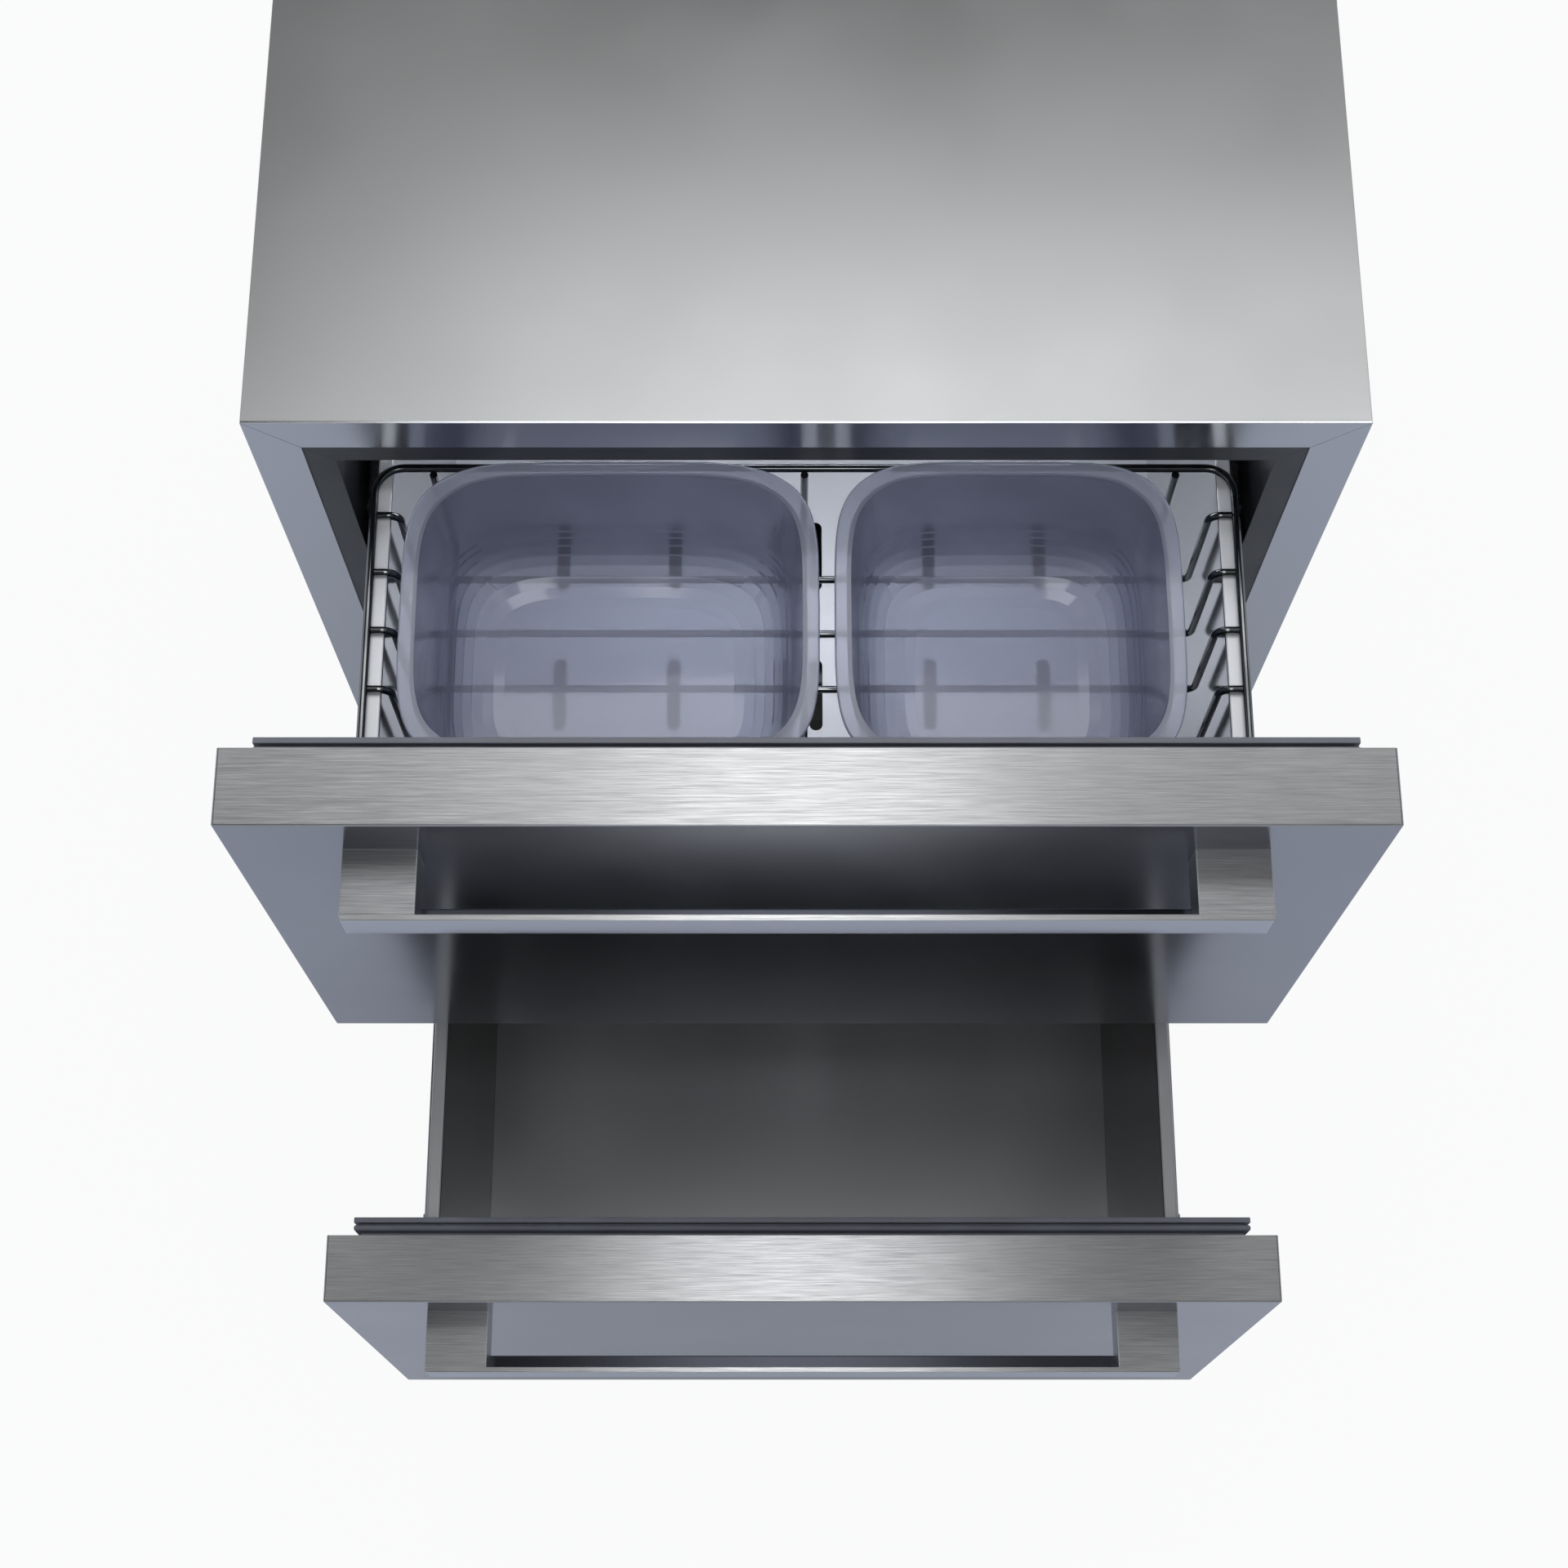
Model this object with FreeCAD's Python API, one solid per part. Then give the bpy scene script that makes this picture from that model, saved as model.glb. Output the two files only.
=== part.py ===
import FreeCAD, Part
import math
import os

# Undercounter refrigerator with two drawers, drawn with both drawers pulled out.
# Millimetres, +X to the right, +Y to the back, +Z up. While the pieces are made,
# Y = 0 is the front plane of the cabinet and Z = 0 is the floor. At the end every
# piece moves by SHIFT_Y, so that the origin is under the middle of the whole.

V = FreeCAD.Vector
X_AXIS = V(1, 0, 0)
Y_AXIS = V(0, 1, 0)
Z_AXIS = V(0, 0, 1)

# ---------------------------------------------------------------- driving sizes
# Cabinet
CABINET_WIDTH = 600.0
CABINET_TOP = 864.0
CABINET_BOTTOM = 62.0
CABINET_DEPTH = 570.0
OUTER_SHEET = 1.0
LINER_SHEET = 1.5
FLANGE = 15.0
FRAME_RAIL = 28.0
FRAME_PLATE = 1.5
MITRE_GAP = 0.2
BAND_WIDTH = 16.0
BAND_RECESS = 0.5
BACK_WALL = 40.0
MULLION_HEIGHT = 66.0
MULLION_DEPTH = 38.0
MULLION_BEND = 2.5

# Machine space behind the lower drawer
MACHINE_DEPTH = 164.0
MACHINE_WALL = 36.0
STEP_UNDER_MULLION_CENTRE = 19.0

# Door panels
PANEL_THICKNESS = 42.0
PANEL_SHEET = 1.0
PANEL_LIP = 13.0
PANEL_TOP_DROP = 5.7
PANEL_GAP = 10.6
PANEL_FOOT_RISE = 0.6
UPPER_PANEL_HEIGHT = 394.0
PANEL_EDGE_RADIUS = 1.2

# How far each drawer stands open, from the cabinet front to the back of its panel
UPPER_PANEL_BACK = 181.3
LOWER_PANEL_BACK = 357.7

# Gasket
GASKET_DEPTH = 16.7
GASKET_WIDTH = 14.0
GASKET_SIDE_INSET = 12.0
GASKET_TOP_INSET = 28.0
GASKET_BOTTOM_INSET = 16.0
GASKET_NECK_INSET = 3.0
GASKET_BASE_DEPTH = 6.5
GASKET_RIB_FRONT = 8.8
GASKET_RIB_BACK = 11.6
GASKET_MAGNET_FRONT = 13.0
GASKET_RIB_EDGE = 1.2
SEAL_GAP = 0.3

# Handle
HANDLE_LENGTH = 479.0
HANDLE_DROP = 37.0
HANDLE_STANDOFF = 38.5
HANDLE_HEIGHT = 26.5
HANDLE_PLATE = 3.3
HANDLE_LIP = 13.6
HANDLE_LIP_RADIUS = 4.0
HANDLE_POST_WIDTH = 38.9
HANDLE_END_RADIUS = 2.0
HANDLE_TOP_EDGE = 0.6
HANDLE_LIP_EDGE = 0.8

# Drawer boxes of folded sheet
BOX_SHEET = 1.2
LEDGE_WIDTH = 9.2
LEDGE_LIP = 8.0
LEDGE_RADIUS = 1.6
RUNNER_SPACE = 19.8
UPPER_LEDGE_DROP = 104.2
LOWER_LEDGE_DROP = 43.6
UPPER_FLOOR_RISE = 37.7
LOWER_FLOOR_RISE = 55.9
SLOT_WIDTH = 8.6
SLOT_LENGTH = 50.0
SLOT_PITCH = 100.0
SLOT_FIRST_COLUMN = 9.3
SLOT_COLUMN_PITCH = 75.0
SLOT_SIDE_MARGIN = 30.0
SLOT_END_MARGIN = 40.0
SLOT_ROW_OFFSET = -10.4

# Runners, three channels one inside the other
RUNNER_SHEET = 1.2
RUNNER_HEIGHT = 45.0
RUNNER_DROP = 34.0
RUNNER_CLEARANCE = 0.3
RUNNER_WEB_GAP = 1.0
RUNNER_BEND = 2.0
RUNNER_FLANGE_OUTER = 11.2
RUNNER_FLANGE_MIDDLE = 12.8
RUNNER_FLANGE_INNER = 13.8
RUNNER_FRONT = 22.0
RUNNER_BACK_GAP = 5.5
UPPER_RUNNER_BACK_GAP = 21.0
BRACKET_LENGTH = 27.7
BRACKET_WIDTH = 14.3
BRACKET_SHEET = 2.0

# Wire basket in the upper drawer
RING_WIRE = 4.8
CROSS_WIRE = 4.5
RING_OVERHANG = 0.5
RING_CORNER = 16.0
CROSS_COUNT = 5
CROSS_PITCH = 35.4
CROSS_TO_RING = 29.7
RING_TO_PANEL = 5.2
BASKET_DEPTH = 88.5
LEG_TO_WALL = 5.2
WIRE_BEND = 7.0
LONG_WIRE_INSET = 18.2
LONG_WIRE_END = 1.0
WELD_GAP = 0.05
SEAT_GAP = 0.3

# Bins
BIN_HEIGHT = 97.6
BIN_RIM_WIDTH = 9.3
BIN_RIM_THICKNESS = 3.0
BIN_RIM_EDGE = 1.2
BIN_WALL = 2.4
BIN_DRAFT = 5.0
BIN_FOOT_RADIUS = 34.0
BIN_FOOT_STEPS = 8
BIN_LENGTH = 188.6
BIN_CENTRE_FROM_RING = 5.5
BIN_GAP = 8.3
BIN_LEFT_SPARE = 4.2
BIN_LEFT_WIDTH = 233.7
BIN_RIGHT_SPARE = 19.0
BIN_CORNER_POWER = 4.4
BIN_OUTLINE_POINTS = 32
BIN_SEAT_GAP = 0.1

# Base, feet and toe grille
BASE_SHEET = 2.0
FOOT_INSET_X = 45.0
FOOT_INSET_Y = 60.0
FOOT_PAD_RADIUS = 19.0
FOOT_PAD_HEIGHT = 8.0
FOOT_PAD_EDGE = 3.2
FOOT_HEX = 17.0
FOOT_HEX_HEIGHT = 8.0
FOOT_STUD_RADIUS = 5.0
FOOT_NUT_RADIUS = 11.0
FOOT_NUT_HEIGHT = 14.0
FOOT_BORE_CLEARANCE = 0.05
GRILLE_TO_FOOT = 3.0
GRILLE_SHEET = 1.5
GRILLE_FLOOR_GAP = 8.0
GRILLE_ROWS = 3
GRILLE_COLUMNS = 4
GRILLE_SLOT = 5.0
GRILLE_BRIDGE = 23.0

# Compressor on its rubber mounts
COMPRESSOR_X = -150.0
COMPRESSOR_RADIUS = 62.0
COMPRESSOR_HEIGHT = 150.0
COMPRESSOR_HEEL = 15.5
COMPRESSOR_SHOULDER = 37.0
COMPRESSOR_PLATE = 3.0
COMPRESSOR_PLATE_CORNER = 12.0
SEAM_WIDTH = 2.5
SEAM_HEIGHT = 4.0
SEAM_RISE = 82.5
TERMINAL_DEPTH = 14.0
TERMINAL_WIDTH = 36.0
TERMINAL_RISE = 35.0
TERMINAL_HEIGHT = 40.0
GROMMET_REACH_X = 69.4
GROMMET_REACH_Y = 48.4
GROMMET_MARGIN = 3.0
GROMMET_RADIUS = 11.0
GROMMET_HEIGHT = 12.0
GROMMET_NECK_RADIUS = 5.5
GROMMET_NECK_CLEARANCE = 0.5
GROMMET_COLLAR_RADIUS = 8.8
GROMMET_COLLAR_HEIGHT = 3.0

# Coils and pipes
COIL_TUBE = 8.0
COIL_STUB = 25.0
COIL_BEND_SHARE = 0.98
FIN_SHEET = 0.8
CONDENSER_X = 165.0
CONDENSER_INSET = 46.0
CONDENSER_LENGTH = 84.0
CONDENSER_HEIGHT = 190.0
CONDENSER_THICKNESS = 36.0
CONDENSER_TUBES = 6
CONDENSER_FINS = 14
EVAPORATOR_HEIGHT = 160.0
EVAPORATOR_THICKNESS = 34.0
EVAPORATOR_SIDE_GAP = 60.0
EVAPORATOR_TUBES = 5
EVAPORATOR_FINS = 24
LINE_RADIUS = 4.0
LINE_BEND = 9.0
LINE_HOLE_CLEARANCE = 0.3
LINE_SPREAD = 15.5
RISER_TO_COIL = 36.0
DISCHARGE_RISE = 25.0
DISCHARGE_JOG = 60.0
DISCHARGE_TURN = 12.0

# Fans
FAN_DEPTH = 16.0
FAN_HUB_RADIUS = 17.0
FAN_HUB_GAP = 0.6
FAN_BLADES = 7
FAN_BLADE_SHEET = 1.8
FAN_BLADE_CHORD = 20.8
FAN_BLADE_ANGLE = 42.0
FAN_BLADE_ROOT = 12.0
FAN_TIP_GAP = 3.0
FAN_RING_WALL = 3.0
FAN_ARM_THICKNESS = 4.0
FAN_ARM_WIDTH = 8.0
FAN_ARMS = 3
FAN_MOTOR_RADIUS = 15.3
FAN_MOTOR_DEPTH = 12.0
FAN_SHAFT_RADIUS = 3.0
FAN_BORE_CLEARANCE = 0.05
EVAPORATOR_FAN_RADIUS = 52.0
EVAPORATOR_FAN_RISE = 40.0
CONDENSER_FAN_RADIUS = 62.0
CONDENSER_FAN_GAP = 14.0

# Air cover in front of the cold coil
COVER_SETBACK = 66.0
COVER_SHEET = 1.5
COVER_GRILLE_ROWS = 9
COVER_GRILLE_BAR = 5.0
COVER_GRILLE_MARGIN = 3.0
COVER_SLOT = 6.0
COVER_SLOT_ROWS = 4
COVER_SLOT_PITCH = 16.0
COVER_SLOT_RISE = 70.0
COVER_SLOT_LENGTH = 179.0
COVER_SLOT_CENTRE = 128.0

# Rear cover, its screws and the bushing for the mains lead
VENT_SLOT = 6.0
VENT_ROWS = 12
VENT_COLUMNS = 3
VENT_BRIDGE = 25.0
VENT_SIDE_MARGIN = 70.0
VENT_FOOT_MARGIN = 85.0
VENT_HEAD_MARGIN = 30.0
SCREW_HEAD_RADIUS = 4.0
SCREW_HEAD_HEIGHT = 2.0
SCREW_HEAD_EDGE = 0.9
SCREW_DRIVE_RADIUS = 2.0
SCREW_DRIVE_DEPTH = 1.0
SCREW_SHANK_RADIUS = 2.0
SCREW_SHANK_LENGTH = 6.0
SCREW_HOLE_CLEARANCE = 0.1
SCREW_END_MARGIN = 28.0
UPPER_SCREWS = 4
LOWER_SCREWS = 3
GLAND_INSET_X = 70.0
GLAND_RISE = 40.0
GLAND_RADIUS = 8.0
GLAND_BORE = 4.5
GLAND_CLEARANCE = 0.1
GLAND_COLLAR_RADIUS = 12.0
GLAND_COLLAR = 2.0
GLAND_NUT_RADIUS = 10.5
GLAND_NUT = 2.0
GLAND_INSIDE = 8.0

# Control housing and lamp under the roof
MODULE_WIDTH = 120.0
MODULE_FRONT = 70.0
MODULE_DEPTH = 52.0
MODULE_HEIGHT = 18.0
MODULE_EDGE = 5.0
MODULE_VENTS = 13
MODULE_VENT_WIDTH = 3.0
MODULE_VENT_PITCH = 8.0
MODULE_VENT_LENGTH = 28.0
MODULE_VENT_DEPTH = 2.0
LIGHT_LENGTH = 358.0
LIGHT_FRONT = 140.0
LIGHT_WIDTH = 22.0
LIGHT_HEIGHT = 7.0
LIGHT_EDGE = 3.0

# ---------------------------------------------------------------- derived places
HALF = CABINET_WIDTH / 2
INNER_TOP = CABINET_TOP - FRAME_RAIL - BAND_WIDTH
INNER_BOTTOM = CABINET_BOTTOM + FRAME_RAIL + BAND_WIDTH
INNER_HALF = HALF - FRAME_RAIL - BAND_WIDTH
LINER_FRONT = BAND_RECESS
UPPER_BACK = CABINET_DEPTH - OUTER_SHEET - BACK_WALL
LOWER_BACK = CABINET_DEPTH - OUTER_SHEET - MACHINE_DEPTH - MACHINE_WALL - LINER_SHEET

UPPER_PANEL_TOP = CABINET_TOP - PANEL_TOP_DROP
UPPER_PANEL_BOTTOM = UPPER_PANEL_TOP - UPPER_PANEL_HEIGHT
LOWER_PANEL_TOP = UPPER_PANEL_BOTTOM - PANEL_GAP
LOWER_PANEL_BOTTOM = CABINET_BOTTOM + PANEL_FOOT_RISE
MULLION_CENTRE = (UPPER_PANEL_BOTTOM + LOWER_PANEL_TOP) / 2
STEP_TOP = MULLION_CENTRE - STEP_UNDER_MULLION_CENTRE
MACHINE_TOP = STEP_TOP - LINER_SHEET - BACK_WALL
MACHINE_FRONT = CABINET_DEPTH - OUTER_SHEET - MACHINE_DEPTH
UPPER_RUNNER_LENGTH = UPPER_BACK - COVER_SETBACK - UPPER_RUNNER_BACK_GAP - RUNNER_FRONT
BASE_TOP = CABINET_BOTTOM + OUTER_SHEET + BASE_SHEET

BOX_HALF = INNER_HALF - RUNNER_SPACE - BOX_SHEET
BOX_OUTER = BOX_HALF + BOX_SHEET
LEDGE_HALF = BOX_HALF + LEDGE_WIDTH
RUNNER_INNER_HEIGHT = RUNNER_HEIGHT - 2 * (RUNNER_SHEET + RUNNER_CLEARANCE)
RUNNER_CORE_HEIGHT = RUNNER_INNER_HEIGHT - 2 * (RUNNER_SHEET + RUNNER_CLEARANCE)

FRONT_EXTENT = LOWER_PANEL_BACK + PANEL_THICKNESS + HANDLE_STANDOFF
BACK_EXTENT = CABINET_DEPTH + SCREW_HEAD_HEIGHT
SHIFT_Y = (FRONT_EXTENT - BACK_EXTENT) / 2


class Drawer:
    """The places that one drawer's pieces share."""

    def __init__(self, name, panel_top, panel_bottom, panel_back, ledge_drop, floor_rise, runner_length):
        self.name = name
        self.panel_top = panel_top
        self.panel_bottom = panel_bottom
        self.back_y = -panel_back
        self.front_y = -panel_back - PANEL_THICKNESS
        self.ledge = panel_top - ledge_drop
        self.floor = panel_bottom + floor_rise
        self.runner_top = self.ledge - RUNNER_DROP
        self.runner_middle = self.runner_top - RUNNER_HEIGHT / 2
        self.runner_length = runner_length
        self.opened = panel_back - GASKET_DEPTH - SEAL_GAP
        self.box_back = RUNNER_FRONT + runner_length - self.opened


UPPER = Drawer("upper", UPPER_PANEL_TOP, UPPER_PANEL_BOTTOM, UPPER_PANEL_BACK,
               UPPER_LEDGE_DROP, UPPER_FLOOR_RISE, UPPER_RUNNER_LENGTH)
LOWER = Drawer("lower", LOWER_PANEL_TOP, LOWER_PANEL_BOTTOM, LOWER_PANEL_BACK,
               LOWER_LEDGE_DROP, LOWER_FLOOR_RISE, LOWER_BACK - RUNNER_BACK_GAP - RUNNER_FRONT)

NODES = {}


# ---------------------------------------------------------------- shape helpers
def box(x0, x1, y0, y1, z0, z1):
    return Part.makeBox(x1 - x0, y1 - y0, z1 - z0, V(x0, y0, z0))


def fused(shapes):
    if len(shapes) == 1:
        return shapes[0]
    return shapes[0].multiFuse(shapes[1:]).removeSplitter()


def mirrored(shape):
    return shape.mirror(V(0, 0, 0), X_AXIS)


def corner_arc(before, corner, after, radius):
    """The two tangent points and the middle point of an arc that rounds one corner."""
    to_before = (before - corner).normalize()
    to_after = (after - corner).normalize()
    half_angle = to_before.getAngle(to_after) / 2
    reach = radius / math.tan(half_angle)
    bisector = (to_before + to_after).normalize()
    centre = corner + bisector * (radius / math.sin(half_angle))
    middle = centre - bisector * radius
    return corner + to_before * reach, middle, corner + to_after * reach


def rounded_wire(points, radii, closed=True):
    """Straight runs joined by tangent arcs, with one radius for each point."""
    count = len(points)
    edges = []
    cursor = None
    first = None
    for index, point in enumerate(points):
        is_end = not closed and index in (0, count - 1)
        if is_end or radii[index] == 0:
            start, middle, end = point, None, point
        else:
            start, middle, end = corner_arc(points[index - 1], point, points[(index + 1) % count], radii[index])
        if cursor is not None and cursor.distanceToPoint(start) > 1e-6:
            edges.append(Part.LineSegment(cursor, start).toShape())
        if middle is not None:
            edges.append(Part.Arc(start, middle, end).toShape())
        if first is None:
            first = start
        cursor = end
    if closed and cursor.distanceToPoint(first) > 1e-6:
        edges.append(Part.LineSegment(cursor, first).toShape())
    return Part.Wire(edges)


def prism_x(section, radii, x0, x1):
    """A section of (y, z) points, drawn out along X."""
    wire = rounded_wire([V(x0, y, z) for y, z in section], radii)
    return Part.Face(wire).extrude(V(x1 - x0, 0, 0))


def prism_y(section, radii, y0, y1):
    """A section of (x, z) points, drawn out along Y."""
    wire = rounded_wire([V(x, y0, z) for x, z in section], radii)
    return Part.Face(wire).extrude(V(0, y1 - y0, 0))


def prism_z(section, radii, z0, z1):
    """A section of (x, y) points, drawn out along Z."""
    wire = rounded_wire([V(x, y, z0) for x, y in section], radii)
    return Part.Face(wire).extrude(V(0, 0, z1 - z0))


def tube(points, radius, bend, closed=False):
    """A round wire or pipe along straight runs with tangent bends."""
    corners = [V(*point) for point in points]
    radii = [bend] * len(corners)
    if closed:
        start = (corners[-1] + corners[0]) / 2
        corners = [start] + corners
        radii = [0] + radii
    path = rounded_wire(corners, radii, closed)
    along = corners[1] - corners[0]
    ring = Part.Wire(Part.Circle(corners[0], along, radius).toShape())
    return path.makePipeShell([ring], True, True)


def slot_y(x, y, z0, z1, width, length):
    """A cutter with round ends, long along Y."""
    half_length = length / 2
    half_width = width / 2
    section = [(x - half_width, y - half_length), (x + half_width, y - half_length),
               (x + half_width, y + half_length), (x - half_width, y + half_length)]
    return prism_z(section, [half_width * 0.98] * 4, z0, z1)


def slot_row(x0, x1, y0, y1, z, width):
    """A cutter with round ends, long along X, through a plate that faces Y."""
    half_width = width / 2
    section = [(x0, z - half_width), (x1, z - half_width), (x1, z + half_width), (x0, z + half_width)]
    return prism_y(section, [half_width * 0.98] * 4, y0, y1)


def node(name, *solids):
    NODES[name] = list(solids)


# ---------------------------------------------------------------- cabinet shell
def spread(low, high, count):
    """Evenly spaced values from low to high."""
    return [low + (high - low) * index / (count - 1) for index in range(count)]


def screw_places():
    """Where the screws of the back sheet and of the machine cover stand, as (x, z)."""
    side_x = HALF - FLANGE / 2
    heights = spread(MACHINE_TOP + SCREW_END_MARGIN, CABINET_TOP - SCREW_END_MARGIN, UPPER_SCREWS)
    heights += spread(CABINET_BOTTOM + SCREW_END_MARGIN, MACHINE_TOP - SCREW_END_MARGIN, LOWER_SCREWS)
    return [(side * side_x, z) for z in heights for side in (-1, 1)]


def cylinder_y(radius, y0, y1, x, z):
    return Part.makeCylinder(radius, y1 - y0, V(x, y0, z), Y_AXIS)


def screw(x, z):
    y0 = CABINET_DEPTH
    y1 = y0 + SCREW_HEAD_HEIGHT
    head = cylinder_y(SCREW_HEAD_RADIUS, y0, y1, x, z)
    outer_edge = [edge for edge in head.Edges if abs(edge.CenterOfMass.y - y1) < 1e-6]
    head = head.makeFillet(SCREW_HEAD_EDGE, outer_edge)
    shank = cylinder_y(SCREW_SHANK_RADIUS, y0 - SCREW_SHANK_LENGTH, y0, x, z)
    drive = cylinder_y(SCREW_DRIVE_RADIUS, y1 - SCREW_DRIVE_DEPTH, y1, x, z)
    return fused([head, shank]).cut(drive)


def screw_holes():
    radius = SCREW_SHANK_RADIUS + SCREW_HOLE_CLEARANCE
    y0 = CABINET_DEPTH - SCREW_SHANK_LENGTH - SCREW_HOLE_CLEARANCE
    return [cylinder_y(radius, y0, CABINET_DEPTH, x, z) for x, z in screw_places()]


def outer_side_left():
    """The left outer sheet, with a folded flange along its back and one along its foot."""
    x0 = -HALF
    inner = x0 + OUTER_SHEET
    y_back = CABINET_DEPTH - OUTER_SHEET
    z_top = CABINET_TOP - OUTER_SHEET
    sheet = box(x0, inner, FRAME_PLATE, y_back, CABINET_BOTTOM, z_top)
    back_flange = box(inner, x0 + FLANGE, y_back - OUTER_SHEET, y_back, CABINET_BOTTOM, z_top)
    foot_flange = box(inner, x0 + FLANGE, FRAME_PLATE, y_back, CABINET_BOTTOM, CABINET_BOTTOM + OUTER_SHEET)
    return fused([sheet, back_flange, foot_flange]).cut(screw_holes())


def outer_top():
    z0 = CABINET_TOP - OUTER_SHEET
    y_back = CABINET_DEPTH - OUTER_SHEET
    sheet = box(-HALF, HALF, FRAME_PLATE, y_back, z0, CABINET_TOP)
    flange_half = HALF - FLANGE - OUTER_SHEET
    flange = box(-flange_half, flange_half, y_back - OUTER_SHEET, y_back, z0 - FLANGE, z0)
    return fused([sheet, flange])


def outer_back():
    y_back = CABINET_DEPTH - OUTER_SHEET
    return box(-HALF, HALF, y_back, CABINET_DEPTH, MACHINE_TOP, CABINET_TOP).cut(screw_holes())


def mitred_rail(long_half, short_half, z_outer, z_inner, y0, y1):
    """A flat strip whose ends are cut at 45 degrees; long_half is on the outer side."""
    section = [(-long_half, z_outer), (long_half, z_outer), (short_half, z_inner), (-short_half, z_inner)]
    return prism_y(section, [0] * 4, y0, y1)


def mitred_post(x_outer, x_inner, z_low, z_high, cut, y0, y1):
    """The upright strip that meets two mitred rails."""
    section = [(x_outer, z_low), (x_inner, z_low + cut), (x_inner, z_high - cut), (x_outer, z_high)]
    return prism_y(section, [0] * 4, y0, y1)


def face_frame():
    """Four flat rails of steel around the front, mitred at the corners."""
    inner_half = HALF - FRAME_RAIL
    gap = MITRE_GAP
    top = mitred_rail(HALF, inner_half, CABINET_TOP, CABINET_TOP - FRAME_RAIL, 0, FRAME_PLATE)
    bottom = mitred_rail(HALF, inner_half, CABINET_BOTTOM, CABINET_BOTTOM + FRAME_RAIL, 0, FRAME_PLATE)
    left = mitred_post(-HALF, -inner_half, CABINET_BOTTOM + gap, CABINET_TOP - gap, FRAME_RAIL, 0, FRAME_PLATE)
    return [top, bottom, left, mirrored(left)]


def liner_side_section(margin):
    """The side view of the cold space, grown outwards by a margin."""
    return [(LINER_FRONT, INNER_BOTTOM - margin), (LOWER_BACK + margin, INNER_BOTTOM - margin),
            (LOWER_BACK + margin, STEP_TOP - margin), (UPPER_BACK + margin, STEP_TOP - margin),
            (UPPER_BACK + margin, INNER_TOP + margin), (LINER_FRONT, INNER_TOP + margin)]


def liner_left():
    """The left inner wall with the dark band that it folds out to at the front."""
    wall = prism_x(liner_side_section(LINER_SHEET), [0] * 6, -INNER_HALF - LINER_SHEET, -INNER_HALF)
    outer = INNER_HALF + BAND_WIDTH
    band = mitred_post(-outer, -INNER_HALF, INNER_BOTTOM - BAND_WIDTH + MITRE_GAP, INNER_TOP + BAND_WIDTH - MITRE_GAP,
                       BAND_WIDTH, LINER_FRONT, LINER_FRONT + LINER_SHEET)
    clear_top = box(-INNER_HALF - LINER_SHEET, -INNER_HALF, LINER_FRONT, LINER_FRONT + LINER_SHEET,
                    INNER_TOP - MITRE_GAP, INNER_TOP + LINER_SHEET)
    clear_bottom = box(-INNER_HALF - LINER_SHEET, -INNER_HALF, LINER_FRONT, LINER_FRONT + LINER_SHEET,
                       INNER_BOTTOM - LINER_SHEET, INNER_BOTTOM + MITRE_GAP)
    return fused([wall.cut([clear_top, clear_bottom]), band])


def liner_top():
    sheet = box(-INNER_HALF, INNER_HALF, LINER_FRONT, UPPER_BACK + LINER_SHEET, INNER_TOP, INNER_TOP + LINER_SHEET)
    band = mitred_rail(INNER_HALF + BAND_WIDTH, INNER_HALF, INNER_TOP + BAND_WIDTH, INNER_TOP,
                       LINER_FRONT, LINER_FRONT + LINER_SHEET)
    return fused([sheet, band])


def liner_bottom():
    sheet = box(-INNER_HALF, INNER_HALF, LINER_FRONT, LOWER_BACK + LINER_SHEET,
                INNER_BOTTOM - LINER_SHEET, INNER_BOTTOM)
    band = mitred_rail(INNER_HALF + BAND_WIDTH, INNER_HALF, INNER_BOTTOM - BAND_WIDTH, INNER_BOTTOM,
                       LINER_FRONT, LINER_FRONT + LINER_SHEET)
    return fused([sheet, band])


def liner_back():
    """One folded sheet: the wall behind the lower drawer, the step over the machine space and the upper wall."""
    sheet = LINER_SHEET
    section = [(LOWER_BACK, INNER_BOTTOM), (LOWER_BACK + sheet, INNER_BOTTOM), (LOWER_BACK + sheet, STEP_TOP - sheet),
               (UPPER_BACK + sheet, STEP_TOP - sheet), (UPPER_BACK + sheet, INNER_TOP), (UPPER_BACK, INNER_TOP),
               (UPPER_BACK, STEP_TOP), (LOWER_BACK, STEP_TOP)]
    return prism_x(section, [0] * 8, -INNER_HALF, INNER_HALF).cut(line_hole())


def line_hole():
    """The bore for the suction line, from the machine space up to the evaporator."""
    x, y = suction_riser()
    radius = LINE_RADIUS + LINE_HOLE_CLEARANCE
    return Part.makeCylinder(radius, STEP_TOP - MACHINE_TOP, V(x, y, MACHINE_TOP), Z_AXIS)


def insulation(skins):
    """The foam between the outer sheets and the liner, as one block."""
    outer_half = HALF - OUTER_SHEET
    y0 = LINER_FRONT + LINER_SHEET
    block = box(-outer_half, outer_half, y0, CABINET_DEPTH - OUTER_SHEET, BASE_TOP, CABINET_TOP - OUTER_SHEET)
    machine = box(-outer_half, outer_half, MACHINE_FRONT, CABINET_DEPTH, BASE_TOP, MACHINE_TOP)
    margin = LINER_SHEET
    cold = prism_x(liner_side_section(margin), [0] * 6, -INNER_HALF - margin, INNER_HALF + margin)
    return block.cut([machine, cold, line_hole()] + screw_holes() + skins)


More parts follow.
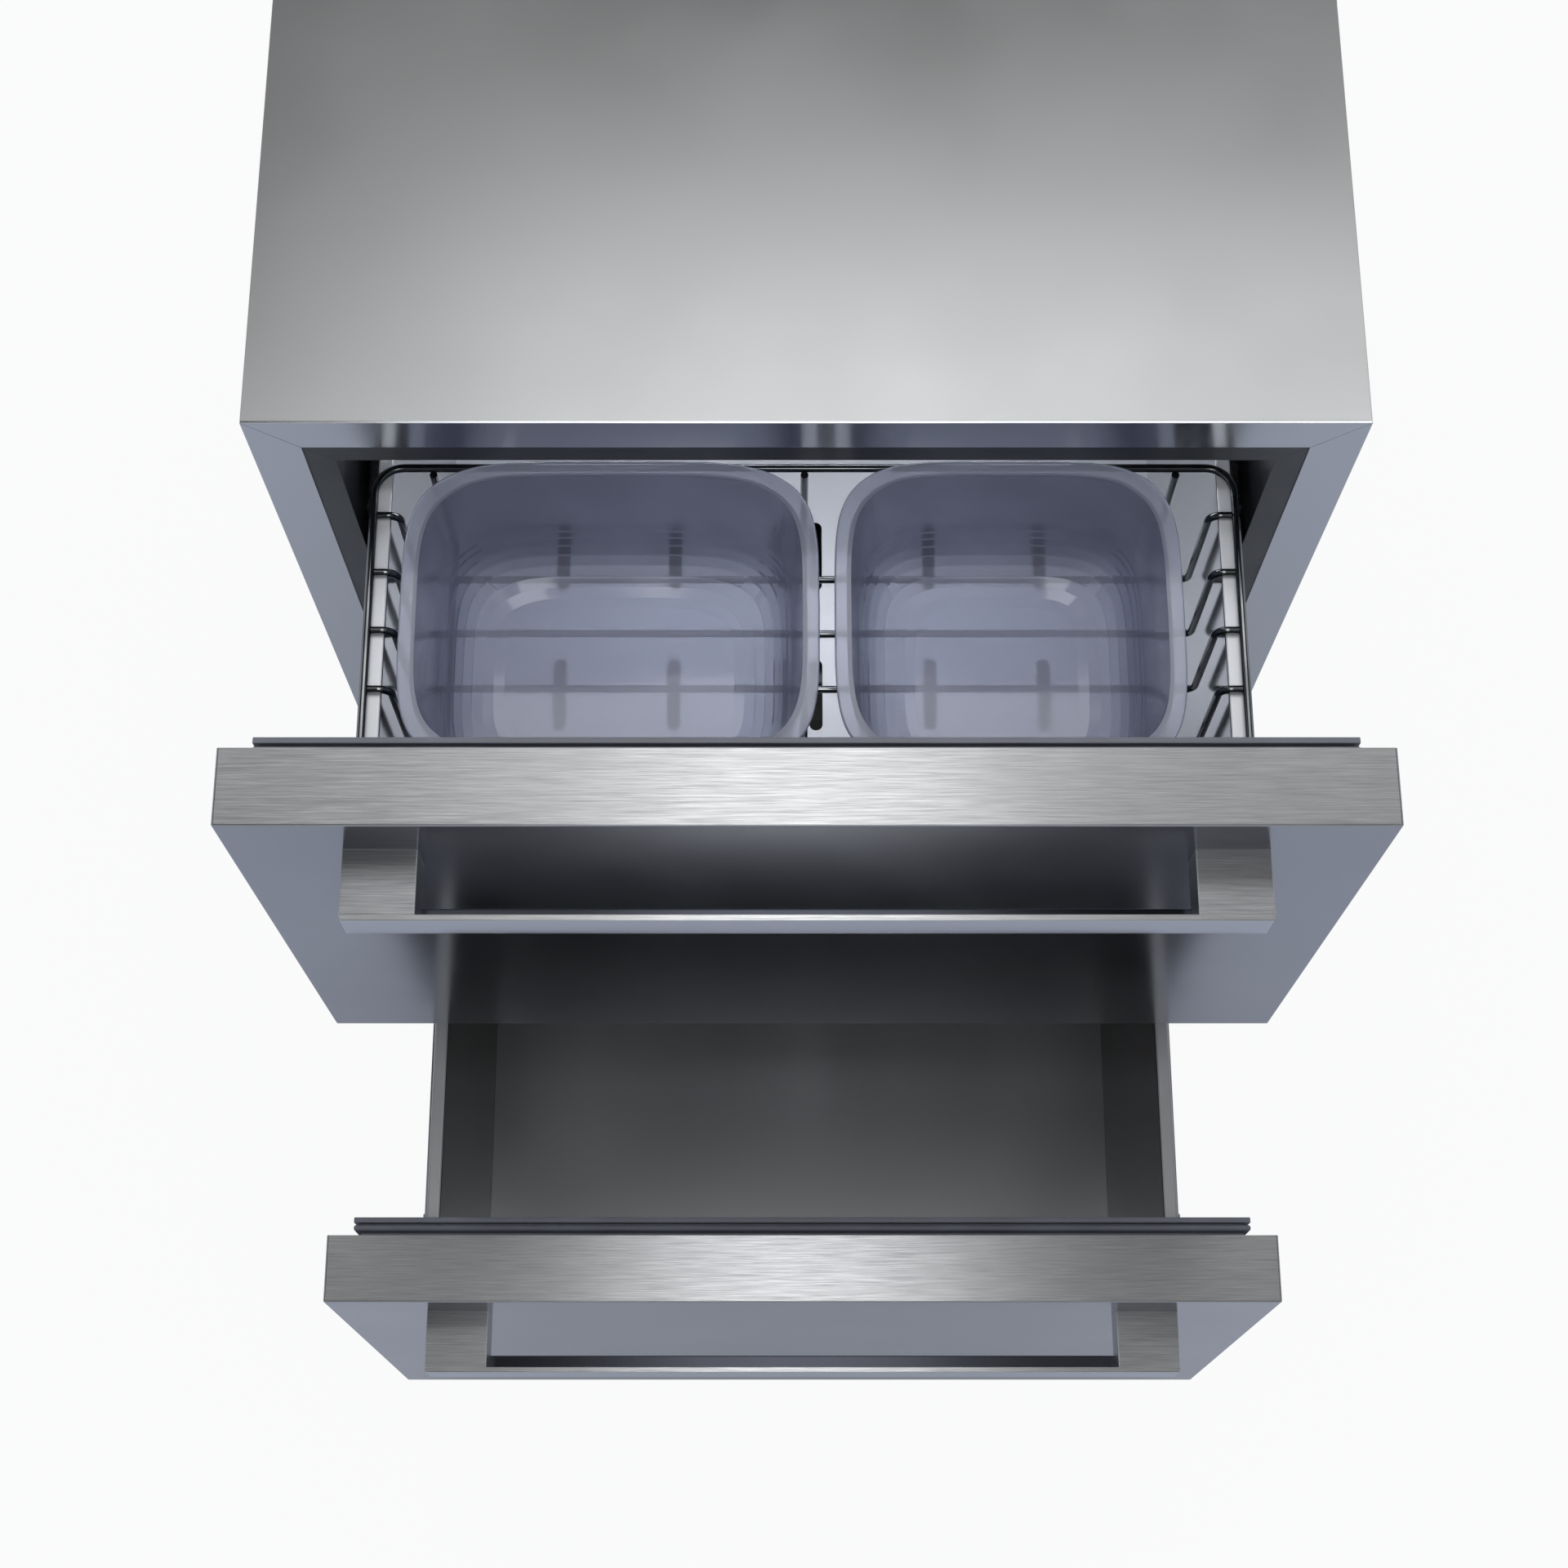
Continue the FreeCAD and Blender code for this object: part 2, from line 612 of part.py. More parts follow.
def mullion_rail():
    """A channel across the front between the drawers, open to the back."""
    z0 = MULLION_CENTRE - MULLION_HEIGHT / 2
    z1 = MULLION_CENTRE + MULLION_HEIGHT / 2
    y0 = LINER_FRONT
    y1 = y0 + MULLION_DEPTH
    sheet = LINER_SHEET
    section = [(y0, z0), (y1, z0), (y1, z0 + sheet), (y0 + sheet, z0 + sheet),
               (y0 + sheet, z1 - sheet), (y1, z1 - sheet), (y1, z1), (y0, z1)]
    inside_bend = MULLION_BEND - sheet
    radii = [MULLION_BEND, 0, 0, inside_bend, inside_bend, 0, 0, MULLION_BEND]
    return prism_x(section, radii, -INNER_HALF, INNER_HALF)


# ---------------------------------------------------------------- base and feet
def foot_places():
    x = HALF - FOOT_INSET_X
    return {
        "foot_front_left": (-x, FOOT_INSET_Y),
        "foot_front_right": (x, FOOT_INSET_Y),
        "foot_back_left": (-x, CABINET_DEPTH - FOOT_INSET_Y),
        "foot_back_right": (x, CABINET_DEPTH - FOOT_INSET_Y),
    }


def base_pan():
    """The floor sheet of the body, with a round nut under it for each foot."""
    half = HALF - OUTER_SHEET
    z0 = CABINET_BOTTOM + OUTER_SHEET
    y_back = CABINET_DEPTH - 2 * OUTER_SHEET
    shapes = [box(-half, half, LINER_FRONT + LINER_SHEET, y_back, z0, BASE_TOP)]
    bores = []
    for x, y in foot_places().values():
        shapes.append(Part.makeCylinder(FOOT_NUT_RADIUS, FOOT_NUT_HEIGHT, V(x, y, z0 - FOOT_NUT_HEIGHT), Z_AXIS))
        bores.append(Part.makeCylinder(FOOT_STUD_RADIUS + FOOT_BORE_CLEARANCE, FOOT_NUT_HEIGHT + BASE_SHEET,
                                       V(x, y, z0 - FOOT_NUT_HEIGHT), Z_AXIS))
    return fused(shapes).cut(bores)


def foot(x, y):
    """A levelling foot: round pad, hexagon to turn it by, and stud."""
    pad = Part.makeCylinder(FOOT_PAD_RADIUS, FOOT_PAD_HEIGHT, V(x, y, 0), Z_AXIS)
    top_edges = [edge for edge in pad.Edges if abs(edge.CenterOfMass.z - FOOT_PAD_HEIGHT) < 1e-6]
    pad = pad.makeFillet(FOOT_PAD_EDGE, top_edges)
    reach = FOOT_HEX / math.sqrt(3)
    corners = [(x + reach * math.cos(math.radians(60 * k)), y + reach * math.sin(math.radians(60 * k)))
               for k in range(6)]
    hexagon = prism_z(corners, [0] * 6, FOOT_PAD_HEIGHT, FOOT_PAD_HEIGHT + FOOT_HEX_HEIGHT)
    stud_bottom = FOOT_PAD_HEIGHT + FOOT_HEX_HEIGHT
    stud_top = BASE_TOP - OUTER_SHEET
    stud = Part.makeCylinder(FOOT_STUD_RADIUS, stud_top - stud_bottom, V(x, y, stud_bottom), Z_AXIS)
    return fused([pad, hexagon, stud])


def slot_grid(x0, x1, z0, z1, columns, rows, bridge, width, y0, y1):
    """Cutters for rows of long slots that fill a field, with a bridge between two columns."""
    pitch_x = (x1 - x0) / columns
    pitch_z = (z1 - z0) / rows
    cutters = []
    for row in range(rows):
        z = z0 + (row + 0.5) * pitch_z
        for column in range(columns):
            left = x0 + column * pitch_x + bridge / 2
            cutters.append(slot_row(left, left + pitch_x - bridge, y0 - 1, y1 + 1, z, width))
    return cutters


def toe_grille():
    """The slotted plate before the front feet, hung from the base by a folded flange."""
    half = HALF - FLANGE - OUTER_SHEET
    z_top = CABINET_BOTTOM + OUTER_SHEET
    y1 = FOOT_INSET_Y - FOOT_PAD_RADIUS - GRILLE_TO_FOOT
    y0 = y1 - GRILLE_SHEET
    plate = box(-half, half, y0, y1, GRILLE_FLOOR_GAP, z_top)
    flange = box(-half, half, y0 - FLANGE, y0, z_top - GRILLE_SHEET, z_top)
    slots = slot_grid(-half, half, GRILLE_FLOOR_GAP, z_top - GRILLE_SHEET, GRILLE_COLUMNS, GRILLE_ROWS,
                      GRILLE_BRIDGE, GRILLE_SLOT, y0, y1)
    return fused([plate, flange]).cut(slots)


# ---------------------------------------------------------------- machine space
def compressor_place():
    return COMPRESSOR_X, (MACHINE_FRONT + CABINET_DEPTH - OUTER_SHEET) / 2, BASE_TOP + GROMMET_HEIGHT


def shell_top():
    return compressor_place()[2] + COMPRESSOR_PLATE + COMPRESSOR_HEIGHT


def grommet_places():
    x, y, _ = compressor_place()
    return [(x + sx * GROMMET_REACH_X, y + sy * GROMMET_REACH_Y) for sx in (-1, 1) for sy in (-1, 1)]


def compressor():
    """The sealed shell with its seam, its foot plate and its terminal cover."""
    x, y, z = compressor_place()
    z0 = z + COMPRESSOR_PLATE
    z1 = shell_top()
    half_x = GROMMET_REACH_X + GROMMET_RADIUS + GROMMET_MARGIN
    half_y = GROMMET_REACH_Y + GROMMET_RADIUS + GROMMET_MARGIN
    outline = [(x - half_x, y - half_y), (x + half_x, y - half_y), (x + half_x, y + half_y), (x - half_x, y + half_y)]
    foot_plate = prism_z(outline, [COMPRESSOR_PLATE_CORNER] * 4, z, z0)
    hole_radius = GROMMET_NECK_RADIUS + GROMMET_NECK_CLEARANCE
    holes = [Part.makeCylinder(hole_radius, COMPRESSOR_PLATE, V(gx, gy, z), Z_AXIS) for gx, gy in grommet_places()]
    side = x + COMPRESSOR_RADIUS
    section = rounded_wire([V(x, y, z0), V(side, y, z0), V(side, y, z1), V(x, y, z1)],
                           [0, COMPRESSOR_HEEL, COMPRESSOR_SHOULDER, 0])
    shell = Part.Face(section).revolve(V(x, y, z0), Z_AXIS, 360)
    seam = Part.makeCylinder(COMPRESSOR_RADIUS + SEAM_WIDTH, SEAM_HEIGHT, V(x, y, z0 + SEAM_RISE), Z_AXIS)
    terminal = box(x - COMPRESSOR_RADIUS - TERMINAL_DEPTH, x, y - TERMINAL_WIDTH / 2, y + TERMINAL_WIDTH / 2,
                   z0 + TERMINAL_RISE, z0 + TERMINAL_RISE + TERMINAL_HEIGHT)
    return fused([foot_plate.cut(holes), shell, seam, terminal])


def compressor_grommets():
    z = compressor_place()[2]
    grommets = []
    for gx, gy in grommet_places():
        body = Part.makeCylinder(GROMMET_RADIUS, GROMMET_HEIGHT, V(gx, gy, BASE_TOP), Z_AXIS)
        neck = Part.makeCylinder(GROMMET_NECK_RADIUS, COMPRESSOR_PLATE, V(gx, gy, z), Z_AXIS)
        collar = Part.makeCylinder(GROMMET_COLLAR_RADIUS, GROMMET_COLLAR_HEIGHT, V(gx, gy, z + COMPRESSOR_PLATE), Z_AXIS)
        grommets.append(fused([body, neck, collar]))
    return grommets


def finned_coil(length, height, thickness, tubes, fins):
    """A serpentine of pipe through upright fins, along X from the origin, standing on Z = 0."""
    pitch = height / tubes
    overhang = pitch / 2
    points = [(-COIL_STUB, 0, pitch / 2)]
    for index in range(1, tubes):
        x = length + overhang if index % 2 else -overhang
        points += [(x, 0, pitch * (index - 0.5)), (x, 0, pitch * (index + 0.5))]
    last_end = length + COIL_STUB if tubes % 2 else -COIL_STUB
    points.append((last_end, 0, pitch * (tubes - 0.5)))
    serpentine = tube(points, COIL_TUBE / 2, overhang * COIL_BEND_SHARE)
    fin_pitch = length / fins
    plates = []
    for index in range(fins):
        x = fin_pitch * (index + 0.5)
        plates.append(box(x, x + FIN_SHEET, -thickness / 2, thickness / 2, 0, height))
    return fused([serpentine] + plates)


def condenser():
    """The warm coil on the right of the machine space, with its pipes running front to back."""
    coil = finned_coil(CONDENSER_LENGTH, CONDENSER_HEIGHT, CONDENSER_THICKNESS, CONDENSER_TUBES, CONDENSER_FINS)
    coil.rotate(V(0, 0, 0), Z_AXIS, 90)
    coil.translate(V(CONDENSER_X, MACHINE_FRONT + CONDENSER_INSET, BASE_TOP))
    return coil


def evaporator_place():
    """The lowest left corner of the cold coil, which stands on the step behind the air cover."""
    return -INNER_HALF + EVAPORATOR_SIDE_GAP, UPPER_BACK - COVER_SETBACK / 2, STEP_TOP


def evaporator():
    length = 2 * (INNER_HALF - EVAPORATOR_SIDE_GAP)
    coil = finned_coil(length, EVAPORATOR_HEIGHT, EVAPORATOR_THICKNESS, EVAPORATOR_TUBES, EVAPORATOR_FINS)
    coil.translate(V(*evaporator_place()))
    return coil


def suction_riser():
    """The (x, y) of the pipe that comes down from the evaporator."""
    x, y, _ = evaporator_place()
    return x - RISER_TO_COIL, y


def refrigerant_lines():
    """The suction line down to the compressor and the discharge line to the condenser."""
    rx, ry = suction_riser()
    cx, cy, _ = compressor_place()
    top = shell_top()
    x, y, z = evaporator_place()
    coil_z = z + EVAPORATOR_HEIGHT / EVAPORATOR_TUBES / 2
    coil_end = x - COIL_STUB - WELD_GAP
    mid_z = (MACHINE_TOP + top) / 2
    suction_x = cx - LINE_SPREAD
    suction = tube([(coil_end, y, coil_z), (rx, ry, coil_z), (rx, ry, mid_z), (suction_x, cy, mid_z),
                    (suction_x, cy, top + WELD_GAP)], LINE_RADIUS, LINE_BEND)
    out_x = cx + LINE_SPREAD
    run_z = top + DISCHARGE_RISE
    in_z = BASE_TOP + CONDENSER_HEIGHT - CONDENSER_HEIGHT / CONDENSER_TUBES / 2
    end_y = MACHINE_FRONT + CONDENSER_INSET - COIL_STUB - WELD_GAP
    front_y = end_y - DISCHARGE_TURN
    discharge = tube([(out_x, cy, top + WELD_GAP), (out_x, cy, run_z), (out_x + DISCHARGE_JOG, front_y, run_z),
                      (CONDENSER_X, front_y, run_z), (CONDENSER_X, front_y, in_z), (CONDENSER_X, end_y, in_z)],
                     LINE_RADIUS, LINE_BEND)
    return [suction, discharge]


# ---------------------------------------------------------------- fans and air cover
def fan_rotor(radius):
    """Hub and pitched blades about the Y axis, with the hub's back face at Y = 0."""
    hub = cylinder_y(FAN_HUB_RADIUS, -FAN_DEPTH, 0, 0, 0)
    sweep = cylinder_y(radius, -FAN_DEPTH, 0, 0, 0)
    blades = []
    for index in range(FAN_BLADES):
        blade = box(FAN_BLADE_ROOT, radius + FAN_TIP_GAP, -FAN_BLADE_SHEET / 2, FAN_BLADE_SHEET / 2,
                    -FAN_BLADE_CHORD / 2, FAN_BLADE_CHORD / 2)
        blade.rotate(V(0, 0, 0), X_AXIS, FAN_BLADE_ANGLE)
        blade.translate(V(0, -FAN_DEPTH / 2, 0))
        blade.rotate(V(0, 0, 0), Y_AXIS, 360.0 * index / FAN_BLADES)
        blades.append(blade.common(sweep))
    bore = cylinder_y(FAN_SHAFT_RADIUS + FAN_BORE_CLEARANCE, -FAN_DEPTH, 0, 0, 0)
    return fused([hub] + blades).cut(bore)


def fan_bracket(radius):
    """A ring round the blades, arms behind them, the motor in the middle and its shaft."""
    inner = radius + FAN_TIP_GAP
    arm_back = FAN_HUB_GAP + FAN_ARM_THICKNESS
    ring = cylinder_y(inner + FAN_RING_WALL, -FAN_DEPTH, arm_back, 0, 0)
    ring = ring.cut(cylinder_y(inner, -FAN_DEPTH, arm_back, 0, 0))
    motor = cylinder_y(FAN_MOTOR_RADIUS, FAN_HUB_GAP, FAN_HUB_GAP + FAN_MOTOR_DEPTH, 0, 0)
    shaft = cylinder_y(FAN_SHAFT_RADIUS, -FAN_DEPTH, arm_back, 0, 0)
    arms = []
    for index in range(FAN_ARMS):
        arm = box(FAN_MOTOR_RADIUS / 2, inner + FAN_RING_WALL / 2, FAN_HUB_GAP, arm_back,
                  -FAN_ARM_WIDTH / 2, FAN_ARM_WIDTH / 2)
        arm.rotate(V(0, 0, 0), Y_AXIS, 90 + 360.0 * index / FAN_ARMS)
        arms.append(arm)
    return fused([ring, motor, shaft] + arms)


def evaporator_fan_place():
    """The back of the hub, in the upper part of the air cover."""
    z = STEP_TOP + EVAPORATOR_HEIGHT + EVAPORATOR_FAN_RADIUS + EVAPORATOR_FAN_RISE
    return V(0, UPPER_BACK - COVER_SETBACK + COVER_SHEET + FAN_DEPTH, z)


def condenser_fan_place():
    """The front of the hub; this fan blows along X through the condenser and stands on the base."""
    x = CONDENSER_X - CONDENSER_THICKNESS / 2 - CONDENSER_FAN_GAP
    y = (MACHINE_FRONT + CABINET_DEPTH - OUTER_SHEET) / 2
    return V(x, y, BASE_TOP + CONDENSER_FAN_RADIUS + FAN_TIP_GAP + FAN_RING_WALL)


def turned_fan(shape):
    """Turns a fan part from the Y axis to the X axis, with its front towards +X."""
    shape.rotate(V(0, 0, 0), Z_AXIS, 90)
    shape.translate(condenser_fan_place() - V(FAN_DEPTH, 0, 0))
    return shape


def moved_fan(shape):
    shape.translate(evaporator_fan_place())
    return shape


def evaporator_cover():
    """The panel in front of the cold coil, with a round grille before the fan and slots near its foot."""
    y0 = UPPER_BACK - COVER_SETBACK
    y1 = y0 + COVER_SHEET
    panel = box(-INNER_HALF, INNER_HALF, y0, y1, STEP_TOP, INNER_TOP)
    fan_z = evaporator_fan_place().z
    cutters = []
    pitch = 2 * EVAPORATOR_FAN_RADIUS / COVER_GRILLE_ROWS
    for row in range(COVER_GRILLE_ROWS):
        offset = (row - (COVER_GRILLE_ROWS - 1) / 2) * pitch
        reach = math.sqrt(EVAPORATOR_FAN_RADIUS ** 2 - offset ** 2) - COVER_GRILLE_MARGIN
        cutters.append(slot_row(-reach, reach, y0 - 1, y1 + 1, fan_z + offset, pitch - COVER_GRILLE_BAR))
    for row in range(COVER_SLOT_ROWS):
        z = STEP_TOP + COVER_SLOT_RISE + row * COVER_SLOT_PITCH
        for side in (-1, 1):
            x0 = side * COVER_SLOT_CENTRE - COVER_SLOT_LENGTH / 2
            cutters.append(slot_row(x0, x0 + COVER_SLOT_LENGTH, y0 - 1, y1 + 1, z, COVER_SLOT))
    return panel.cut(cutters)


# ---------------------------------------------------------------- rear cover and fittings
def gland_place():
    return HALF - GLAND_INSET_X, CABINET_BOTTOM + GLAND_RISE


def rear_cover():
    """The removable sheet behind the machine space, with rows of air slots and the bushing's hole."""
    y0 = CABINET_DEPTH - OUTER_SHEET
    y1 = CABINET_DEPTH
    sheet = box(-HALF, HALF, y0, y1, CABINET_BOTTOM, MACHINE_TOP - MITRE_GAP)
    field = HALF - VENT_SIDE_MARGIN
    slots = slot_grid(-field, field, CABINET_BOTTOM + VENT_FOOT_MARGIN, MACHINE_TOP - VENT_HEAD_MARGIN,
                      VENT_COLUMNS, VENT_ROWS, VENT_BRIDGE, VENT_SLOT, y0, y1)
    return sheet.cut(screw_holes() + slots + [cylinder_y(GLAND_RADIUS + GLAND_CLEARANCE, y0, y1, *gland_place())])


def lead_gland():
    """The moulded bushing in the cover where the mains lead goes in."""
    place = gland_place()
    y0 = CABINET_DEPTH - OUTER_SHEET
    y1 = CABINET_DEPTH
    body = cylinder_y(GLAND_RADIUS, y0 - GLAND_INSIDE, y1, *place)
    collar = cylinder_y(GLAND_COLLAR_RADIUS, y1, y1 + GLAND_COLLAR, *place)
    nut = cylinder_y(GLAND_NUT_RADIUS, y0 - GLAND_NUT, y0, *place)
    bore = cylinder_y(GLAND_BORE, y0 - GLAND_INSIDE, y1 + GLAND_COLLAR, *place)
    return fused([body, collar, nut]).cut(bore)


def roof_bar(width, front, depth, height, edge):
    """A housing that hangs under the ceiling of the cold space, with rounded lower edges."""
    z0 = INNER_TOP - height
    section = [(front, z0), (front + depth, z0), (front + depth, INNER_TOP), (front, INNER_TOP)]
    return prism_x(section, [edge, edge, 0, 0], -width / 2, width / 2)


def control_module():
    """The electronics housing under the ceiling, with a row of vents in its lower face."""
    housing = roof_bar(MODULE_WIDTH, MODULE_FRONT, MODULE_DEPTH, MODULE_HEIGHT, MODULE_EDGE)
    z0 = INNER_TOP - MODULE_HEIGHT
    y0 = MODULE_FRONT + (MODULE_DEPTH - MODULE_VENT_LENGTH) / 2
    vents = []
    for index in range(MODULE_VENTS):
        x = (index - (MODULE_VENTS - 1) / 2) * MODULE_VENT_PITCH
        vents.append(box(x - MODULE_VENT_WIDTH / 2, x + MODULE_VENT_WIDTH / 2, y0, y0 + MODULE_VENT_LENGTH,
                         z0 - 1, z0 + MODULE_VENT_DEPTH))
    return housing.cut(vents)


def light_bar():
    """The lamp strip across the ceiling, behind the control housing."""
    return roof_bar(LIGHT_LENGTH, LIGHT_FRONT, LIGHT_WIDTH, LIGHT_HEIGHT, LIGHT_EDGE)


# ---------------------------------------------------------------- runners
def channel(x_web, flange, height, z_middle, y0, y1):
    """A channel whose web stands at x_web; a positive flange points to +X and a negative one to -X."""
    sheet = RUNNER_SHEET
    side = 1 if flange > 0 else -1
    x_inside = x_web + side * sheet
    x_end = x_web + flange
    z0 = z_middle - height / 2
    z1 = z_middle + height / 2
    section = [(x_web, z0), (x_end, z0), (x_end, z0 + sheet), (x_inside, z0 + sheet),
               (x_inside, z1 - sheet), (x_end, z1 - sheet), (x_end, z1), (x_web, z1)]
    inside_bend = RUNNER_BEND - sheet
    return prism_y(section, [RUNNER_BEND, 0, 0, inside_bend, inside_bend, 0, 0, RUNNER_BEND], y0, y1)


def both_sides(right_shape):
    return [mirrored(right_shape), right_shape]


def runner_outer(drawer):
    """The right member that stays on the cabinet wall, opening towards the drawer."""
    return channel(INNER_HALF, -RUNNER_FLANGE_OUTER, RUNNER_HEIGHT, drawer.runner_middle,
                   RUNNER_FRONT, RUNNER_FRONT + drawer.runner_length)


def runner_middle(drawer):
    """The right member that goes half as far as the drawer."""
    x_web = INNER_HALF - RUNNER_SHEET - RUNNER_WEB_GAP
    y0 = RUNNER_FRONT - drawer.opened / 2
    return channel(x_web, -RUNNER_FLANGE_MIDDLE, RUNNER_INNER_HEIGHT, drawer.runner_middle,
                   y0, y0 + drawer.runner_length)


def runner_inner(drawer):
    """The right member on the drawer's wall, with the angle that ties it to the panel's back."""
    y_bracket = drawer.back_y + BRACKET_LENGTH
    rail = channel(BOX_OUTER, RUNNER_FLANGE_INNER, RUNNER_CORE_HEIGHT, drawer.runner_middle,
                   y_bracket, drawer.box_back)
    z0 = drawer.runner_middle - RUNNER_HEIGHT / 2
    z1 = drawer.runner_middle + RUNNER_HEIGHT / 2
    x1 = BOX_OUTER + BRACKET_WIDTH
    wall_leg = box(BOX_OUTER, BOX_OUTER + BRACKET_SHEET, drawer.back_y, y_bracket, z0, z1)
    panel_leg = box(BOX_OUTER, x1, drawer.back_y, drawer.back_y + BRACKET_SHEET, z0, z1)
    gusset = box(BOX_OUTER, x1, drawer.back_y, y_bracket, z1 - BRACKET_SHEET, z1)
    return fused([rail, wall_leg, panel_leg, gusset])


# ---------------------------------------------------------------- drawers
def door_skin(drawer):
    """The folded steel pan that is the panel's front and edges."""
    y0 = drawer.front_y
    y1 = drawer.back_y
    z0 = drawer.panel_bottom
    z1 = drawer.panel_top
    block = box(-HALF, HALF, y0, y1, z0, z1)
    outer_edges = [edge for edge in block.Edges if abs(edge.CenterOfMass.y - y1) > 1e-6]
    block = block.makeFillet(PANEL_EDGE_RADIUS, outer_edges)
    sheet = PANEL_SHEET
    inside = box(-HALF + sheet, HALF - sheet, y0 + sheet, y1 - sheet, z0 + sheet, z1 - sheet)
    window = box(-HALF + PANEL_LIP, HALF - PANEL_LIP, y1 - sheet, y1, z0 + PANEL_LIP, z1 - PANEL_LIP)
    return block.cut([inside, window])


def door_core(drawer):
    """The foam inside the pan."""
    sheet = PANEL_SHEET
    return box(-HALF + sheet, HALF - sheet, drawer.front_y + sheet, drawer.back_y - sheet,
               drawer.panel_bottom + sheet, drawer.panel_top - sheet)


def door_liner(drawer):
    """The sheet that closes the pan's back, which is also the drawer box's front wall."""
    y1 = drawer.back_y
    return box(-HALF + PANEL_LIP, HALF - PANEL_LIP, y1 - PANEL_SHEET, y1,
               drawer.panel_bottom + PANEL_LIP, drawer.panel_top - PANEL_LIP)


def gasket(drawer):
    """The ribbed seal round the panel's back: base, rounded rib and magnet strip."""
    half = HALF - GASKET_SIDE_INSET
    z_high = drawer.panel_top - GASKET_TOP_INSET
    z_low = drawer.panel_bottom + GASKET_BOTTOM_INSET

    def ring(y0, y1, inset):
        width = GASKET_WIDTH - inset
        outer = box(-half + inset, half - inset, y0, y1, z_low + inset, z_high - inset)
        inner = box(-half + width, half - width, y0 - 1, y1 + 1, z_low + width, z_high - width)
        return outer.cut(inner)

    y = drawer.back_y
    base = ring(y, y + GASKET_BASE_DEPTH, 0)
    neck = ring(y + GASKET_BASE_DEPTH, y + GASKET_MAGNET_FRONT, GASKET_NECK_INSET)
    rib = ring(y + GASKET_RIB_FRONT, y + GASKET_RIB_BACK, 0)
    rib_edges = [edge for edge in rib.Edges if edge.Length > 2 * GASKET_WIDTH]
    rib = rib.makeFillet(GASKET_RIB_EDGE, rib_edges)
    magnet = ring(y + GASKET_MAGNET_FRONT, y + GASKET_DEPTH, 0)
    return fused([base, neck, rib, magnet])


def handle_bar(drawer):
    """The pull: an upright plate whose lower edge rolls in under the fingers."""
    y0 = drawer.front_y - HANDLE_STANDOFF
    z1 = drawer.panel_top - HANDLE_DROP
    z0 = z1 - HANDLE_HEIGHT
    plate = HANDLE_PLATE
    outer_radius = HANDLE_LIP_RADIUS
    inner_radius = outer_radius - plate
    section = [(y0, z1), (y0, z0), (y0 + HANDLE_LIP, z0), (y0 + HANDLE_LIP, z0 + plate),
               (y0 + plate, z0 + plate), (y0 + plate, z1)]
    radii = [HANDLE_TOP_EDGE, outer_radius, HANDLE_LIP_EDGE, HANDLE_LIP_EDGE, inner_radius, 0]
    bar = prism_x(section, radii, -HANDLE_LENGTH / 2, HANDLE_LENGTH / 2)
    half = HANDLE_LENGTH / 2
    plan = [(-half, y0), (half, y0), (half, y0 + 2 * HANDLE_LIP), (-half, y0 + 2 * HANDLE_LIP)]
    return bar.common(prism_z(plan, [HANDLE_END_RADIUS, HANDLE_END_RADIUS, 0, 0], z0 - 1, z1 + 1))


def handle_post(drawer, bar):
    """The right block that carries the pull on the panel, fitted to the rolled lip."""
    y0 = drawer.front_y - HANDLE_STANDOFF + HANDLE_PLATE
    z1 = drawer.panel_top - HANDLE_DROP
    x1 = HANDLE_LENGTH / 2
    block = box(x1 - HANDLE_POST_WIDTH, x1, y0, drawer.front_y, z1 - HANDLE_HEIGHT, z1)
    below_lip = box(x1 - HANDLE_POST_WIDTH, x1, y0, drawer.front_y - HANDLE_STANDOFF + HANDLE_LIP,
                    z1 - HANDLE_HEIGHT, z1 - HANDLE_HEIGHT + HANDLE_PLATE)
    post = block.cut([bar, below_lip])
    return max(post.Solids, key=lambda solid: solid.Volume)


def box_side(drawer):
    """The right wall of the drawer box, folded outwards to a ledge with a short lip."""
    x0 = BOX_HALF
    z1 = drawer.ledge
    z0 = drawer.floor - BOX_SHEET
    sheet = BOX_SHEET
    section = [(x0, z0), (x0, z1), (LEDGE_HALF, z1), (LEDGE_HALF, z1 - LEDGE_LIP),
               (LEDGE_HALF - sheet, z1 - LEDGE_LIP), (LEDGE_HALF - sheet, z1 - sheet),
               (x0 + sheet, z1 - sheet), (x0 + sheet, z0)]
    bend = LEDGE_RADIUS
    radii = [0, bend, bend, 0, 0, bend - sheet, bend - sheet, 0]
    return prism_y(section, radii, drawer.back_y, drawer.box_back)


def box_back(drawer):
    y1 = drawer.box_back
    return box(-BOX_HALF, BOX_HALF, y1 - BOX_SHEET, y1, drawer.floor, drawer.ledge)


def box_floor(drawer, slotted):
    """The floor sheet; the upper one has rows of round-ended air slots."""
    z0 = drawer.floor - BOX_SHEET
    sheet = box(-BOX_HALF, BOX_HALF, drawer.back_y, drawer.box_back, z0, drawer.floor)
    if not slotted:
        return sheet
    columns = []
    x = SLOT_FIRST_COLUMN
    while x < BOX_HALF - SLOT_SIDE_MARGIN:
        columns += [-x, x]
        x += SLOT_COLUMN_PITCH
    rows = []
    y = SLOT_ROW_OFFSET
    while y - SLOT_PITCH > drawer.back_y + SLOT_END_MARGIN:
        y -= SLOT_PITCH
    while y < drawer.box_back - SLOT_END_MARGIN:
        rows.append(y)
        y += SLOT_PITCH
    cutters = [slot_y(cx, cy, z0 - 1, drawer.floor + 1, SLOT_WIDTH, SLOT_LENGTH) for cx in columns for cy in rows]
    return sheet.cut(cutters)


